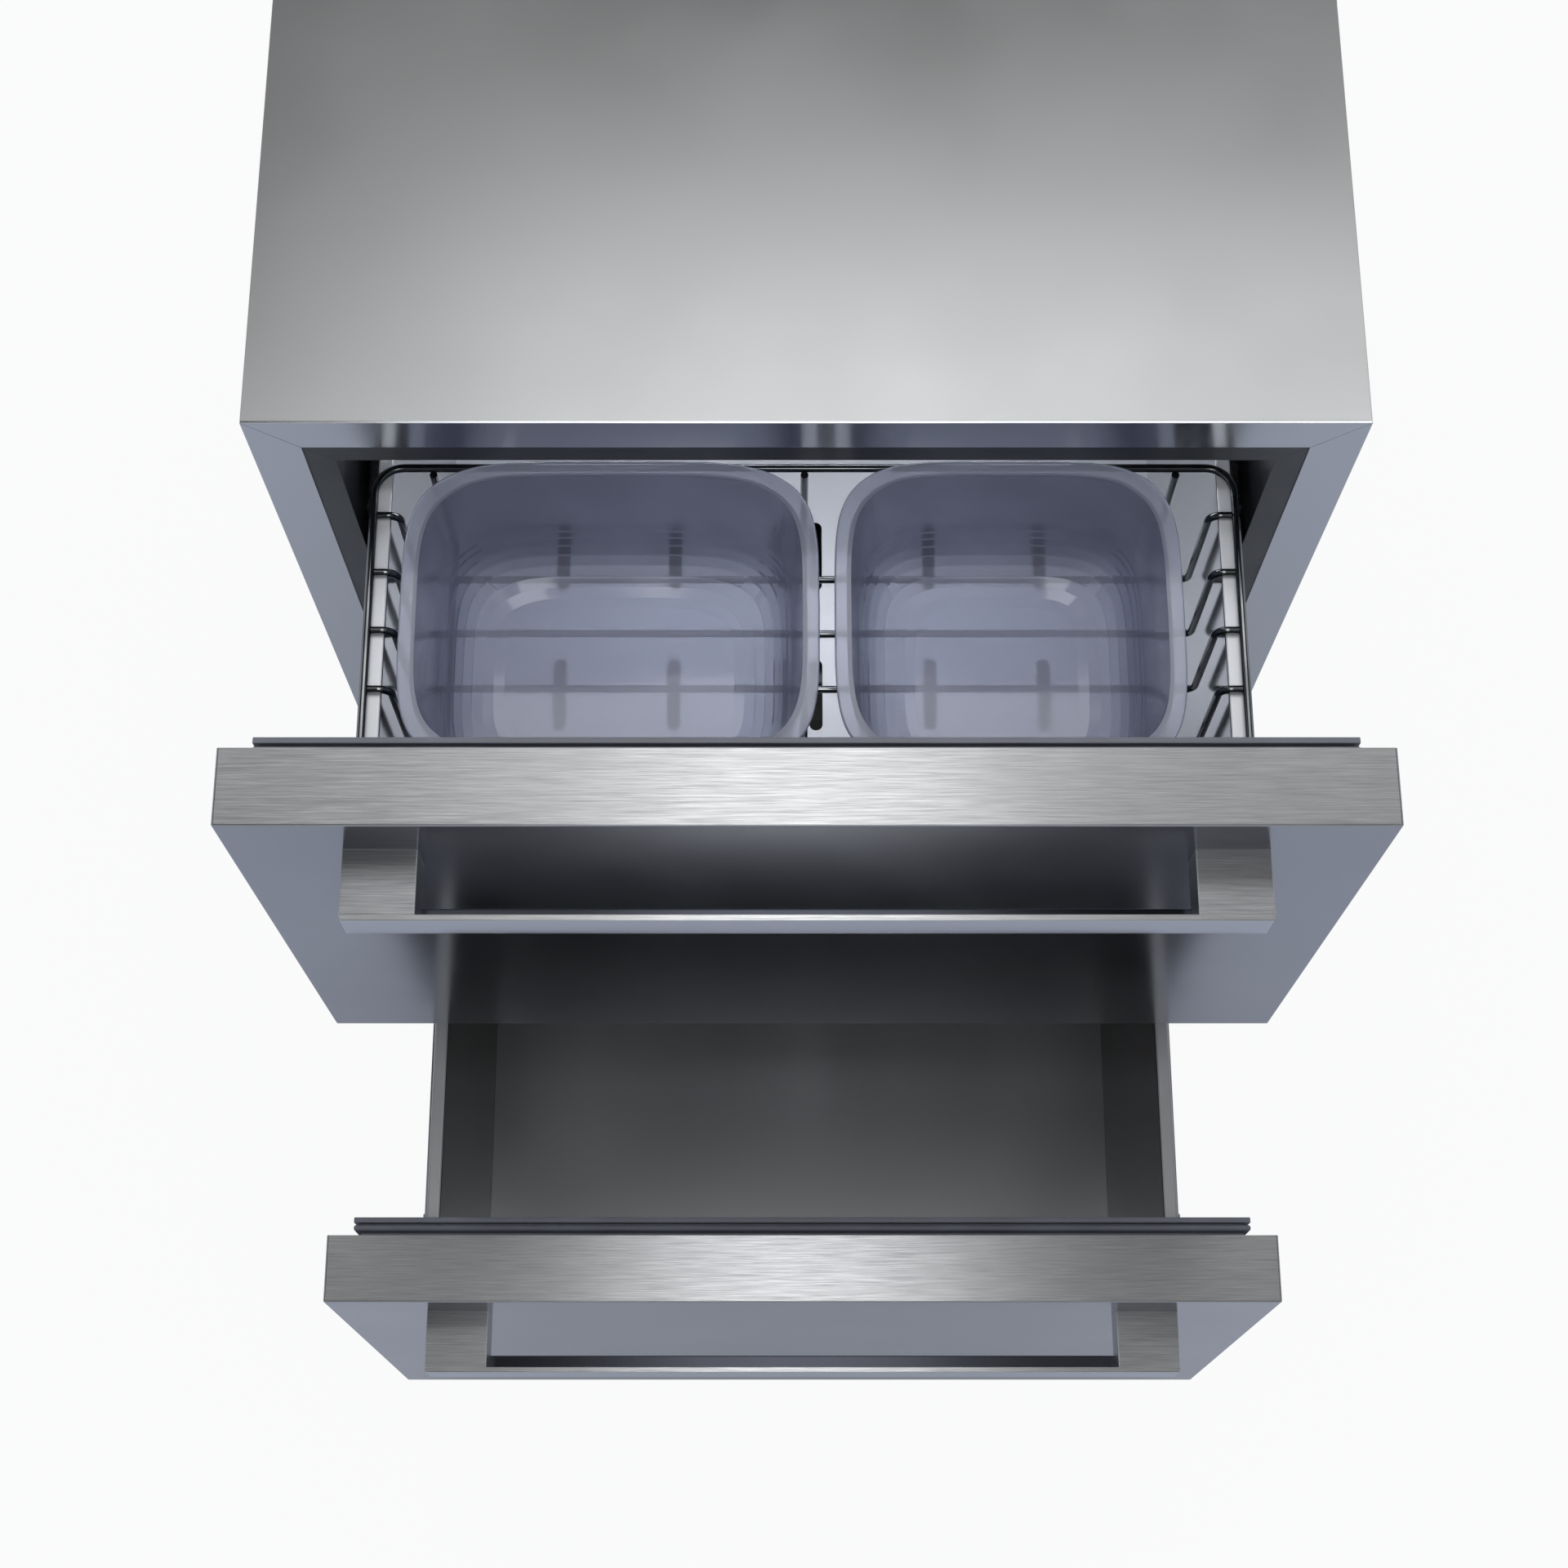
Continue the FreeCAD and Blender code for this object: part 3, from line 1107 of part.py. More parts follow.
def drawer_nodes(drawer, slotted):
    name = drawer.name
    bar = handle_bar(drawer)
    post = handle_post(drawer, bar)
    node(name + "_door_skin", door_skin(drawer))
    node(name + "_door_core", door_core(drawer))
    node(name + "_door_liner", door_liner(drawer))
    node(name + "_gasket", gasket(drawer))
    node(name + "_handle_bar", bar)
    node(name + "_handle_posts", *both_sides(post))
    node(name + "_box_sides", *both_sides(box_side(drawer)))
    node(name + "_box_back", box_back(drawer))
    node(name + "_box_floor", box_floor(drawer, slotted))
    node(name + "_runner_inner", *both_sides(runner_inner(drawer)))
    node(name + "_runner_middle", *both_sides(runner_middle(drawer)))


# ---------------------------------------------------------------- wire basket and bins
RING_HALF = LEDGE_HALF + RING_OVERHANG
RING_Z = UPPER.ledge + SEAT_GAP + RING_WIRE / 2
CROSS_Z = UPPER.ledge + SEAT_GAP + CROSS_WIRE / 2
RUN_Z = CROSS_Z - BASKET_DEPTH
RING_FRONT = UPPER.back_y + RING_TO_PANEL + RING_WIRE / 2
RING_BACK = RING_FRONT + 2 * CROSS_TO_RING + (CROSS_COUNT - 1) * CROSS_PITCH
LEG_HALF = BOX_HALF - LEG_TO_WALL
BIN_RIGHT_WIDTH = 2 * LEG_HALF - BIN_LEFT_SPARE - BIN_LEFT_WIDTH - BIN_GAP - BIN_RIGHT_SPARE


def basket_rim():
    """The closed ring of wire that lies over the two ledges."""
    points = [(-RING_HALF, RING_FRONT, RING_Z), (RING_HALF, RING_FRONT, RING_Z),
              (RING_HALF, RING_BACK, RING_Z), (-RING_HALF, RING_BACK, RING_Z)]
    return tube(points, RING_WIRE / 2, RING_CORNER, closed=True)


def basket_cross_wires():
    """Wires that hook over both ledges and hang down to make the basket's floor."""
    end = RING_HALF - RING_WIRE / 2 - WELD_GAP
    wires = []
    for index in range(CROSS_COUNT):
        y = RING_BACK - CROSS_TO_RING - index * CROSS_PITCH
        points = [(-end, y, CROSS_Z), (-LEG_HALF, y, CROSS_Z), (-LEG_HALF, y, RUN_Z),
                  (LEG_HALF, y, RUN_Z), (LEG_HALF, y, CROSS_Z), (end, y, CROSS_Z)]
        wires.append(tube(points, CROSS_WIRE / 2, WIRE_BEND))
    return wires


def basket_long_wires():
    """Wires from the ring's back down, under the floor wires and up to its front."""
    inset = (RING_WIRE + CROSS_WIRE) / 2 + WELD_GAP
    y_back = RING_BACK - inset
    y_front = RING_FRONT + inset
    z = RUN_Z - CROSS_WIRE - WELD_GAP
    wires = []
    for x in (-LEG_HALF + LONG_WIRE_INSET, 0.0, LEG_HALF - LONG_WIRE_INSET):
        top = RING_Z + LONG_WIRE_END
        points = [(x, y_back, top), (x, y_back, z), (x, y_front, z), (x, y_front, top)]
        wires.append(tube(points, CROSS_WIRE / 2, WIRE_BEND))
    return wires


def bin_outline(centre_x, half_x, half_y, z):
    """One level outline of a bin: a rounded rectangle whose sides are gently curved too."""
    centre_y = (RING_FRONT + RING_BACK) / 2 + BIN_CENTRE_FROM_RING
    power = BIN_CORNER_POWER
    points = []
    for index in range(BIN_OUTLINE_POINTS):
        angle = 2 * math.pi * (index + 0.5) / BIN_OUTLINE_POINTS
        cosine = math.cos(angle)
        sine = math.sin(angle)
        reach = (abs(cosine) ** power + abs(sine) ** power) ** (-1 / power)
        points.append(V(centre_x + half_x * reach * cosine, centre_y + half_y * reach * sine, z))
    curve = Part.BSplineCurve()
    curve.interpolate(Points=points, PeriodicFlag=True)
    return Part.Wire(curve.toShape())


def bin_tub(centre_x, half_x, half_y, z_foot, z_top, foot_radius):
    """A tapered body with a rounded foot; half_x and half_y are its half sizes at the top."""
    lean = math.tan(math.radians(BIN_DRAFT))
    levels = []
    for step in range(BIN_FOOT_STEPS + 1):
        angle = math.pi / 2 * step / BIN_FOOT_STEPS
        levels.append((z_foot + foot_radius * (1 - math.cos(angle)), foot_radius * (1 - math.sin(angle))))
    levels.append((z_top, 0))
    outlines = []
    for z, rounding in levels:
        inset = rounding + (z_top - z) * lean
        outlines.append(bin_outline(centre_x, half_x - inset, half_y - inset, z))
    return Part.makeLoft(outlines, True, True)


def bin_shape(centre_x, width):
    """A tapered tub with a flat rim, standing on the basket's floor wires."""
    half_x = width / 2
    half_y = BIN_LENGTH / 2
    z_foot = RUN_Z + CROSS_WIRE / 2 + BIN_SEAT_GAP
    z_top = z_foot + BIN_HEIGHT
    z_rim = z_top - BIN_RIM_THICKNESS
    outer_inset = BIN_RIM_WIDTH - BIN_WALL
    outer = bin_tub(centre_x, half_x - outer_inset, half_y - outer_inset, z_foot, z_rim, BIN_FOOT_RADIUS)
    inner = bin_tub(centre_x, half_x - BIN_RIM_WIDTH, half_y - BIN_RIM_WIDTH, z_foot + BIN_WALL, z_top,
                    BIN_FOOT_RADIUS - BIN_WALL)
    rim = Part.Face(bin_outline(centre_x, half_x, half_y, z_rim)).extrude(V(0, 0, BIN_RIM_THICKNESS))
    rim = rim.makeFillet(BIN_RIM_EDGE, rim.Edges)
    return fused([outer, rim]).cut(inner)


def bins():
    x_left = -LEG_HALF + BIN_LEFT_SPARE
    x_right = x_left + BIN_LEFT_WIDTH + BIN_GAP
    left = bin_shape(x_left + BIN_LEFT_WIDTH / 2, BIN_LEFT_WIDTH)
    right = bin_shape(x_right + BIN_RIGHT_WIDTH / 2, BIN_RIGHT_WIDTH)
    return left, right


# ---------------------------------------------------------------- the whole
def build_cabinet():
    left = outer_side_left()
    right = mirrored(left)
    roof = outer_top()
    inner_left = liner_left()
    node("outer_side_left", left)
    node("outer_side_right", right)
    node("outer_top", roof)
    node("outer_back", outer_back())
    node("face_frame", *face_frame())
    node("liner_left", inner_left)
    node("liner_right", mirrored(inner_left))
    node("liner_top", liner_top())
    node("liner_bottom", liner_bottom())
    node("liner_back", liner_back())
    node("insulation", insulation([left, right, roof]))
    node("mullion_rail", mullion_rail())
    node("base_pan", base_pan())
    for name, (x, y) in foot_places().items():
        node(name, foot(x, y))
    node("toe_grille", toe_grille())
    node("rear_cover", rear_cover())
    node("lead_gland", lead_gland())
    node("cabinet_screws", *[screw(x, z) for x, z in screw_places()])
    node("control_module", control_module())
    node("light_bar", light_bar())
    node("cabinet_runners", *both_sides(runner_outer(UPPER)), *both_sides(runner_outer(LOWER)))


def build_machine():
    node("compressor", compressor())
    node("compressor_grommets", *compressor_grommets())
    node("condenser", condenser())
    node("fan_brackets", turned_fan(fan_bracket(CONDENSER_FAN_RADIUS)), moved_fan(fan_bracket(EVAPORATOR_FAN_RADIUS)))
    node("condenser_fan", turned_fan(fan_rotor(CONDENSER_FAN_RADIUS)))
    node("refrigerant_lines", *refrigerant_lines())
    node("evaporator", evaporator())
    node("evaporator_cover", evaporator_cover())
    node("evaporator_fan", moved_fan(fan_rotor(EVAPORATOR_FAN_RADIUS)))


def build_basket():
    node("basket_rim", basket_rim())
    node("basket_cross_wires", *basket_cross_wires())
    node("basket_long_wires", *basket_long_wires())
    left, right = bins()
    node("bin_left", left)
    node("bin_right", right)


def export_all():
    os.makedirs("parts", exist_ok=True)
    for name, solids in NODES.items():
        shapes = []
        for solid in solids:
            moved = solid.copy()
            moved.translate(V(0, SHIFT_Y, 0))
            shapes += moved.Solids
        shape = shapes[0] if len(shapes) == 1 else Part.makeCompound(shapes)
        if not shape.isValid() or len(shapes) != len(solids):
            print("check", name, "valid", shape.isValid(), "solids", len(shapes), "of", len(solids))
        shape.exportStep("parts/" + name + ".step")
    print(len(NODES), "nodes, shift along Y", round(SHIFT_Y, 3))


build_cabinet()
build_machine()
drawer_nodes(UPPER, slotted=True)
drawer_nodes(LOWER, slotted=False)
build_basket()
export_all()
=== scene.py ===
"""Looks of an undercounter refrigerator with two drawers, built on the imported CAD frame."""
import logging
import math
from dataclasses import dataclass
from enum import Enum
from typing import Any, Iterable, Mapping, Sequence

import bmesh
import bpy
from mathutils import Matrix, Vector

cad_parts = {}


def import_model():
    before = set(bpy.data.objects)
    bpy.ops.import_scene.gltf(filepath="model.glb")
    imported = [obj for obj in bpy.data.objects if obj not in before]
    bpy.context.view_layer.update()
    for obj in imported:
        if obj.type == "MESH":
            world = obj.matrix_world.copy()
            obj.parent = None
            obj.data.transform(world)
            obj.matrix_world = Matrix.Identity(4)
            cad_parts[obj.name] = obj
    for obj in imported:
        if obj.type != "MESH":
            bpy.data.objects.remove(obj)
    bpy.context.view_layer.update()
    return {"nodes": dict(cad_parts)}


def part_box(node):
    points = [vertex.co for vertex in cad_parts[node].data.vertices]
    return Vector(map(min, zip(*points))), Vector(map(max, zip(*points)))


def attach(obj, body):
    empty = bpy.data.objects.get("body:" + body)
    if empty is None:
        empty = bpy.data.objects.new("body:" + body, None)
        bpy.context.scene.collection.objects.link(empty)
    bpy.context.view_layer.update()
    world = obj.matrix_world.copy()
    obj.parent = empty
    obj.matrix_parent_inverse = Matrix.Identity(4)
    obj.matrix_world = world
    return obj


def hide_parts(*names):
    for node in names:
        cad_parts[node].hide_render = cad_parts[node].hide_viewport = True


LOG = logging.getLogger("drawer_refrigerator")
MM = 0.001
# Most of a noise's values lie between these two.
NOISE_LOW, NOISE_HIGH = 0.3, 0.7
# Likeness of the rounded and the flat normal where an edge starts and where it is all edge.
EDGE_START, EDGE_FULL = 0.995, 0.90

Point = tuple[float, float]
Colour = tuple[float, float, float, float]


# --------------------------------------------------------------------------- small tools


def linear(code: str) -> Colour:
    """Turns an sRGB hex code into a linear colour.

    Args:
        code: Six hex digits, such as "8a8f93".

    Returns:
        Red, green, blue and an alpha of 1, all linear.
    """
    parts = [int(code[i:i + 2], 16) / 255 for i in (0, 2, 4)]
    red, green, blue = (p / 12.92 if p <= 0.04045 else ((p + 0.055) / 1.055) ** 2.4 for p in parts)
    return red, green, blue, 1.0


def per_metre(size_mm: float) -> float:
    """Gives the texture scale at which one cell is size_mm wide."""
    return 1 / (size_mm * MM)


def add_node(tree: bpy.types.NodeTree, kind: str, inputs: Mapping[Any, Any] | None = None,
             **settings: Any) -> bpy.types.Node:
    """Adds one node, sets its properties, and fills or links its inputs.

    Args:
        tree: The node tree that gets the node.
        kind: The node's type name in Blender.
        inputs: Values or output sockets by input name or number.
        settings: Properties of the node itself.

    Returns:
        The new node.
    """
    node = tree.nodes.new(kind)
    for name, value in settings.items():
        setattr(node, name, value)
    for key, value in (inputs or {}).items():
        if isinstance(value, bpy.types.NodeSocket):
            tree.links.new(value, node.inputs[key])
        else:
            node.inputs[key].default_value = value
    return node


def rounded_profile(points: Sequence[Point], rounds: int) -> list[Point]:
    """Cuts the corners of a closed outline so that it reads as moulded.

    Args:
        points: The outline's corners in order.
        rounds: How many times each corner is cut.

    Returns:
        The finer outline.
    """
    outline = list(points)
    for _ in range(rounds):
        finer: list[Point] = []
        for here, after in zip(outline, outline[1:] + outline[:1]):
            for share in (0.25, 0.75):
                finer.append((here[0] + (after[0] - here[0]) * share,
                              here[1] + (after[1] - here[1]) * share))
        outline = finer
    return outline


def new_piece(name: str, mesh: bmesh.types.BMesh, smooth_degrees: float = 40.0) -> bpy.types.Object:
    """Turns mesh code into an object with soft shading over its gentle edges.

    Args:
        name: The piece's name.
        mesh: The finished mesh, which is freed here.
        smooth_degrees: Edges sharper than this stay crisp.

    Returns:
        The linked object.
    """
    bmesh.ops.recalc_face_normals(mesh, faces=mesh.faces)
    limit = math.radians(smooth_degrees)
    for face in mesh.faces:
        face.smooth = True
    for edge in mesh.edges:
        if len(edge.link_faces) == 2 and edge.calc_face_angle(0.0) > limit:
            edge.smooth = False
    data = bpy.data.meshes.new(name)
    mesh.to_mesh(data)
    mesh.free()
    piece = bpy.data.objects.new(name, data)
    bpy.context.scene.collection.objects.link(piece)
    return piece


# --------------------------------------------------------------------------- finishes


@dataclass(frozen=True)
class Finish:
    """A named surface finish that is made into a material once and shared."""

    name: str

    def material(self) -> bpy.types.Material:
        """Gives the finish's material, making it the first time."""
        found = bpy.data.materials.get(self.name)
        if found:
            return found
        made = bpy.data.materials.new(self.name)
        made.use_nodes = True
        tree = made.node_tree
        tree.nodes.clear()
        shader = add_node(tree, "ShaderNodeBsdfPrincipled")
        self.work(tree, shader)
        add_node(tree, "ShaderNodeOutputMaterial", {"Surface": self.surface(tree, shader)})
        return made

    def work(self, tree: bpy.types.NodeTree, shader: bpy.types.Node) -> None:
        """Sets the shader up; each finish has its own.

        Args:
            tree: The material's node tree.
            shader: The Principled shader that is set up.
        """
        raise NotImplementedError

    def surface(self, tree: bpy.types.NodeTree, shader: bpy.types.Node) -> bpy.types.NodeSocket:
        """Gives the socket that the material shows.

        Args:
            tree: The material's node tree.
            shader: The Principled shader that is set up.

        Returns:
            The socket that the material shows.
        """
        return shader.outputs["BSDF"]

    @staticmethod
    def place(tree: bpy.types.NodeTree, scale: tuple[float, float, float] = (1, 1, 1)) -> bpy.types.NodeSocket:
        """Gives object-space places in metres, stretched by scale.

        Args:
            tree: The material's node tree.
            scale: Factors along X, Y and Z.

        Returns:
            The vector socket.
        """
        where = add_node(tree, "ShaderNodeTexCoord").outputs["Object"]
        return add_node(tree, "ShaderNodeMapping", {"Vector": where, "Scale": scale}).outputs["Vector"]

    @staticmethod
    def edges(tree: bpy.types.NodeTree, radius_mm: float) -> tuple[bpy.types.NodeSocket, bpy.types.NodeSocket]:
        """Finds a part's edges, whose colour the finishes lighten: on metal as a painted highlight, on paint as
        rubbed wear.

        Args:
            tree: The material's node tree.
            radius_mm: How far the edge mask reaches from an edge.

        Returns:
            A mask that is 1 on the edge, and the rounded normal.
        """
        rounded = add_node(tree, "ShaderNodeBevel", {"Radius": radius_mm * MM}, samples=4).outputs["Normal"]
        flat = add_node(tree, "ShaderNodeNewGeometry").outputs["Normal"]
        along = add_node(tree, "ShaderNodeVectorMath", {0: rounded, 1: flat}, operation="DOT_PRODUCT")
        mask = add_node(tree, "ShaderNodeMapRange", {
            0: along.outputs["Value"], 1: EDGE_START, 2: EDGE_FULL, 3: 0, 4: 1
        })
        return mask.outputs[0], rounded


@dataclass(frozen=True)
class SatinSteel(Finish):
    """Rolled steel sheet with an even satin grain: soft, wide reflections."""

    tone: str = "c6c7c8"
    painted_edge_highlight_tone: str = "e2e3e4"
    roughness: float = 0.31
    cloud: float = 0.03
    grain_mm: float = 1.4
    cloud_mm: float = 140.0
    edge_mm: float = 0.7

    def work(self, tree: bpy.types.NodeTree, shader: bpy.types.Node) -> None:
        """Gives satin sheet a fine grain, faint clouds of wiping and a painted highlight on its edges.

        Args:
            tree: The material's node tree.
            shader: The Principled shader that is set up.
        """
        place = self.place(tree)
        cloud = add_node(tree, "ShaderNodeTexNoise", {"Vector": place, "Scale": per_metre(self.cloud_mm),
                                                      "Detail": 3.0}).outputs["Fac"]
        # The real grain is 0.1 mm; it is drawn coarser so that it survives the picture's pixels.
        grain = add_node(tree, "ShaderNodeTexNoise", {"Vector": place, "Scale": per_metre(self.grain_mm),
                                                      "Detail": 2.0}).outputs["Fac"]
        mask, rounded = self.edges(tree, self.edge_mm)
        shader.inputs["Metallic"].default_value = 1.0
        # Painted highlight: the edges' colour is lightened where their rounding catches the light.
        tree.links.new(
            add_node(tree, "ShaderNodeMix", {
                0: mask, 6: linear(self.tone), 7: linear(self.painted_edge_highlight_tone)
            }, data_type="RGBA").outputs[2],
            shader.inputs["Base Color"]
        )
        rough = add_node(tree, "ShaderNodeMath", {
            0: add_node(tree, "ShaderNodeMapRange", {
                0: cloud, 1: NOISE_LOW, 2: NOISE_HIGH, 3: -self.cloud, 4: self.cloud
            }).outputs[0],
            1: self.roughness
        }, operation="ADD").outputs[0]
        tree.links.new(rough, shader.inputs["Roughness"])
        bump = add_node(tree, "ShaderNodeBump", {"Height": grain, "Strength": 0.10, "Distance": 0.00006,
                                                 "Normal": rounded})
        tree.links.new(bump.outputs["Normal"], shader.inputs["Normal"])


@dataclass(frozen=True)
class BrushedSteel(Finish):
    """Belt-brushed steel: fine lines along X that pull a lamp's reflection out across them."""

    tone: str = "c9cacb"
    groove_tone: str = "a4a5a7"
    roughness: float = 0.30
    pull: float = 0.8
    line_mm: float = 0.42
    stroke_mm: float = 26.0
    painted_edge_highlight_tone: str = "e6e7e8"
    edge_mm: float = 0.6

    def lines(self, tree: bpy.types.NodeTree) -> bpy.types.NodeSocket:
        """Draws the brushed lines as noise drawn out along X."""
        # Real lines are 0.05 mm wide; these are a pixel wide so that they don't shimmer.
        fine = per_metre(self.line_mm)
        place = self.place(tree, (per_metre(self.stroke_mm), fine, fine))
        return add_node(tree, "ShaderNodeTexNoise", {"Vector": place, "Scale": 1.0, "Detail": 3.0,
                                                     "Roughness": 0.6}).outputs["Fac"]

    def work(self, tree: bpy.types.NodeTree, shader: bpy.types.Node) -> None:
        """Gives brushed sheet its lines, the drawn-out highlight and a painted highlight on its edges.

        Args:
            tree: The material's node tree.
            shader: The Principled shader that is set up.
        """
        line = self.lines(tree)
        mask, rounded = self.edges(tree, self.edge_mm)
        shader.inputs["Metallic"].default_value = 1.0
        body = add_node(tree, "ShaderNodeMix", {
            0: add_node(tree, "ShaderNodeMapRange", {
                0: line, 1: NOISE_LOW, 2: NOISE_HIGH, 3: 0, 4: 1
            }).outputs[0],
            6: linear(self.groove_tone), 7: linear(self.tone)
        }, data_type="RGBA").outputs[2]
        # Painted highlight on the edges.
        edged = add_node(tree, "ShaderNodeMix", {0: mask, 6: body, 7: linear(self.painted_edge_highlight_tone)}, data_type="RGBA")
        tree.links.new(edged.outputs[2], shader.inputs["Base Color"])
        tree.links.new(
            add_node(tree, "ShaderNodeMapRange", {
                0: line, 1: NOISE_LOW, 2: NOISE_HIGH, 3: self.roughness + 0.05, 4: self.roughness - 0.02
            }).outputs[0],
            shader.inputs["Roughness"]
        )
        shader.inputs["Anisotropic"].default_value = self.pull
        # The lines run along X, and a quarter turn pulls the highlight out across them.
        shader.inputs["Anisotropic Rotation"].default_value = 0.25
        along = add_node(tree, "ShaderNodeCombineXYZ", {0: 1.0, 1: 0.0, 2: 0.0})
        tree.links.new(along.outputs[0], shader.inputs["Tangent"])
        bump = add_node(tree, "ShaderNodeBump", {"Height": line, "Strength": 0.16, "Distance": 0.00006,
                                                 "Normal": rounded})
        tree.links.new(bump.outputs["Normal"], shader.inputs["Normal"])


@dataclass(frozen=True)
class DoorSheet(BrushedSteel):
    """Door sheet brushed on its upper edge and left smooth, like a dull mirror, on its face."""

    face_tone: str = "adb0b9"
    wiped_tone: str = "a6a9b3"
    face_painted_edge_highlight_tone: str = "e0e1e3"
    face_roughness: float = 0.16
    cloud_mm: float = 110.0
    wiped_mm: float = 150.0

    def surface(self, tree: bpy.types.NodeTree, shader: bpy.types.Node) -> bpy.types.NodeSocket:
        """Shows the brushed shader on faces that look up and the smooth one elsewhere.

        Args:
            tree: The material's node tree.
            shader: The Principled shader that is set up.

        Returns:
            The socket that the material shows.
        """
        place = self.place(tree)
        cloud = add_node(tree, "ShaderNodeTexNoise", {"Vector": place, "Scale": per_metre(self.cloud_mm),
                                                      "Detail": 4.0}).outputs["Fac"]
        mask, rounded = self.edges(tree, self.edge_mm)
        # Painted highlight on the face's edges.
        edged = add_node(tree, "ShaderNodeMix", {
            0: mask, 6: self.face_colour(tree), 7: linear(self.face_painted_edge_highlight_tone)
        }, data_type="RGBA")
        smooth = add_node(tree, "ShaderNodeBsdfPrincipled", {
            "Metallic": 1.0, "Base Color": edged.outputs[2],
            "Roughness": add_node(tree, "ShaderNodeMapRange", {
                0: cloud, 1: NOISE_LOW, 2: NOISE_HIGH, 3: self.face_roughness - 0.02,
                4: self.face_roughness + 0.03
            }).outputs[0],
            "Normal": add_node(tree, "ShaderNodeBump", {
                "Height": cloud, "Strength": 0.05, "Distance": 0.0006, "Normal": self.lean(tree, rounded)
            }).outputs["Normal"]
        })
        return add_node(tree, "ShaderNodeMixShader", {0: self.brushed_share(tree), 1: smooth.outputs["BSDF"],
                                                      2: shader.outputs["BSDF"]}).outputs[0]

    def face_colour(self, tree: bpy.types.NodeTree) -> bpy.types.NodeSocket:
        """Gives the smooth face's colour with faint clouds of wiping."""
        wiped = add_node(tree, "ShaderNodeTexNoise", {
            "Vector": self.place(tree), "Scale": per_metre(self.wiped_mm), "Detail": 3.0
        }).outputs["Fac"]
        return add_node(tree, "ShaderNodeMix", {
            0: add_node(tree, "ShaderNodeMapRange", {
                0: wiped, 1: NOISE_LOW, 2: NOISE_HIGH, 3: 0, 4: 1
            }).outputs[0],
            6: linear(self.face_tone), 7: linear(self.wiped_tone)
        }, data_type="RGBA").outputs[2]

    def brushed_share(self, tree: bpy.types.NodeTree) -> bpy.types.NodeSocket:
        """Tells where the sheet is brushed."""
        return self.upward(tree)

    def lean(self, tree: bpy.types.NodeTree, normal: bpy.types.NodeSocket) -> bpy.types.NodeSocket:
        """Leaves the flat face's normal as it is."""
        return normal

    def upward(self, tree: bpy.types.NodeTree) -> bpy.types.NodeSocket:
        """Gives 1 on faces that look up and 0 on the others."""
        normal = add_node(tree, "ShaderNodeTexCoord").outputs["Normal"]
        rise = add_node(tree, "ShaderNodeSeparateXYZ", {0: normal}).outputs[2]
        return add_node(tree, "ShaderNodeMapRange", {0: rise, 1: 0.55, 2: 0.75, 3: 0, 4: 1}).outputs[0]


@dataclass(frozen=True)
class PullSteel(DoorSheet):
    """Steel of the pull: brushed top edge, smooth front, and painted shade on the inside of the rolled lip."""

    # Painted shade: the tone of the lip's inside, which the plate and the door shade.
    lip_painted_shade_tone: str = "3c3e45"
    top_share: float = 0.6
    crown_low: float = 0.05
    crown_high: float = 0.14

    def face_colour(self, tree: bpy.types.NodeTree) -> bpy.types.NodeSocket:
        """Darkens the lip's inside as painted shade: it looks up but lies low on the bar, shaded by the plate
        and the door.
        """
        low = add_node(tree, "ShaderNodeMapRange", {
            0: self.height(tree), 1: self.top_share - 0.1, 2: self.top_share, 3: 1, 4: 0
        }).outputs[0]
        inside = add_node(tree, "ShaderNodeMath", {
            0: self.upward(tree), 1: low
        }, operation="MULTIPLY").outputs[0]
        return add_node(tree, "ShaderNodeMix", {
            0: inside, 6: linear(self.face_tone), 7: linear(self.lip_painted_shade_tone)
        }, data_type="RGBA").outputs[2]

    def brushed_share(self, tree: bpy.types.NodeTree) -> bpy.types.NodeSocket:
        """Keeps the brushed lines to the bar's top edge."""
        high = add_node(tree, "ShaderNodeMapRange", {
            0: self.height(tree), 1: self.top_share - 0.1, 2: self.top_share, 3: 0, 4: 1
        }).outputs[0]
        return add_node(tree, "ShaderNodeMath", {
            0: self.upward(tree), 1: high
        }, operation="MULTIPLY").outputs[0]

    def lean(self, tree: bpy.types.NodeTree, normal: bpy.types.NodeSocket) -> bpy.types.NodeSocket:
        """Leans the front's normal up, more towards the top, for a crown too slight to see as a shape."""
        rise = add_node(tree, "ShaderNodeMapRange", {
            0: self.height(tree), 1: 0, 2: 1, 3: self.crown_low, 4: self.crown_high
        }).outputs[0]
        lift = add_node(tree, "ShaderNodeCombineXYZ", {2: rise}).outputs[0]
        leaned = add_node(tree, "ShaderNodeVectorMath", {0: normal, 1: lift}, operation="ADD").outputs[0]
        return add_node(tree, "ShaderNodeVectorMath", {0: leaned}, operation="NORMALIZE").outputs[0]

    @staticmethod
    def height(tree: bpy.types.NodeTree) -> bpy.types.NodeSocket:
        """Gives the share of the bar's own height, from 0 at its bottom to 1 at its top."""
        where = add_node(tree, "ShaderNodeTexCoord").outputs["Generated"]
        return add_node(tree, "ShaderNodeSeparateXYZ", {0: where}).outputs[2]


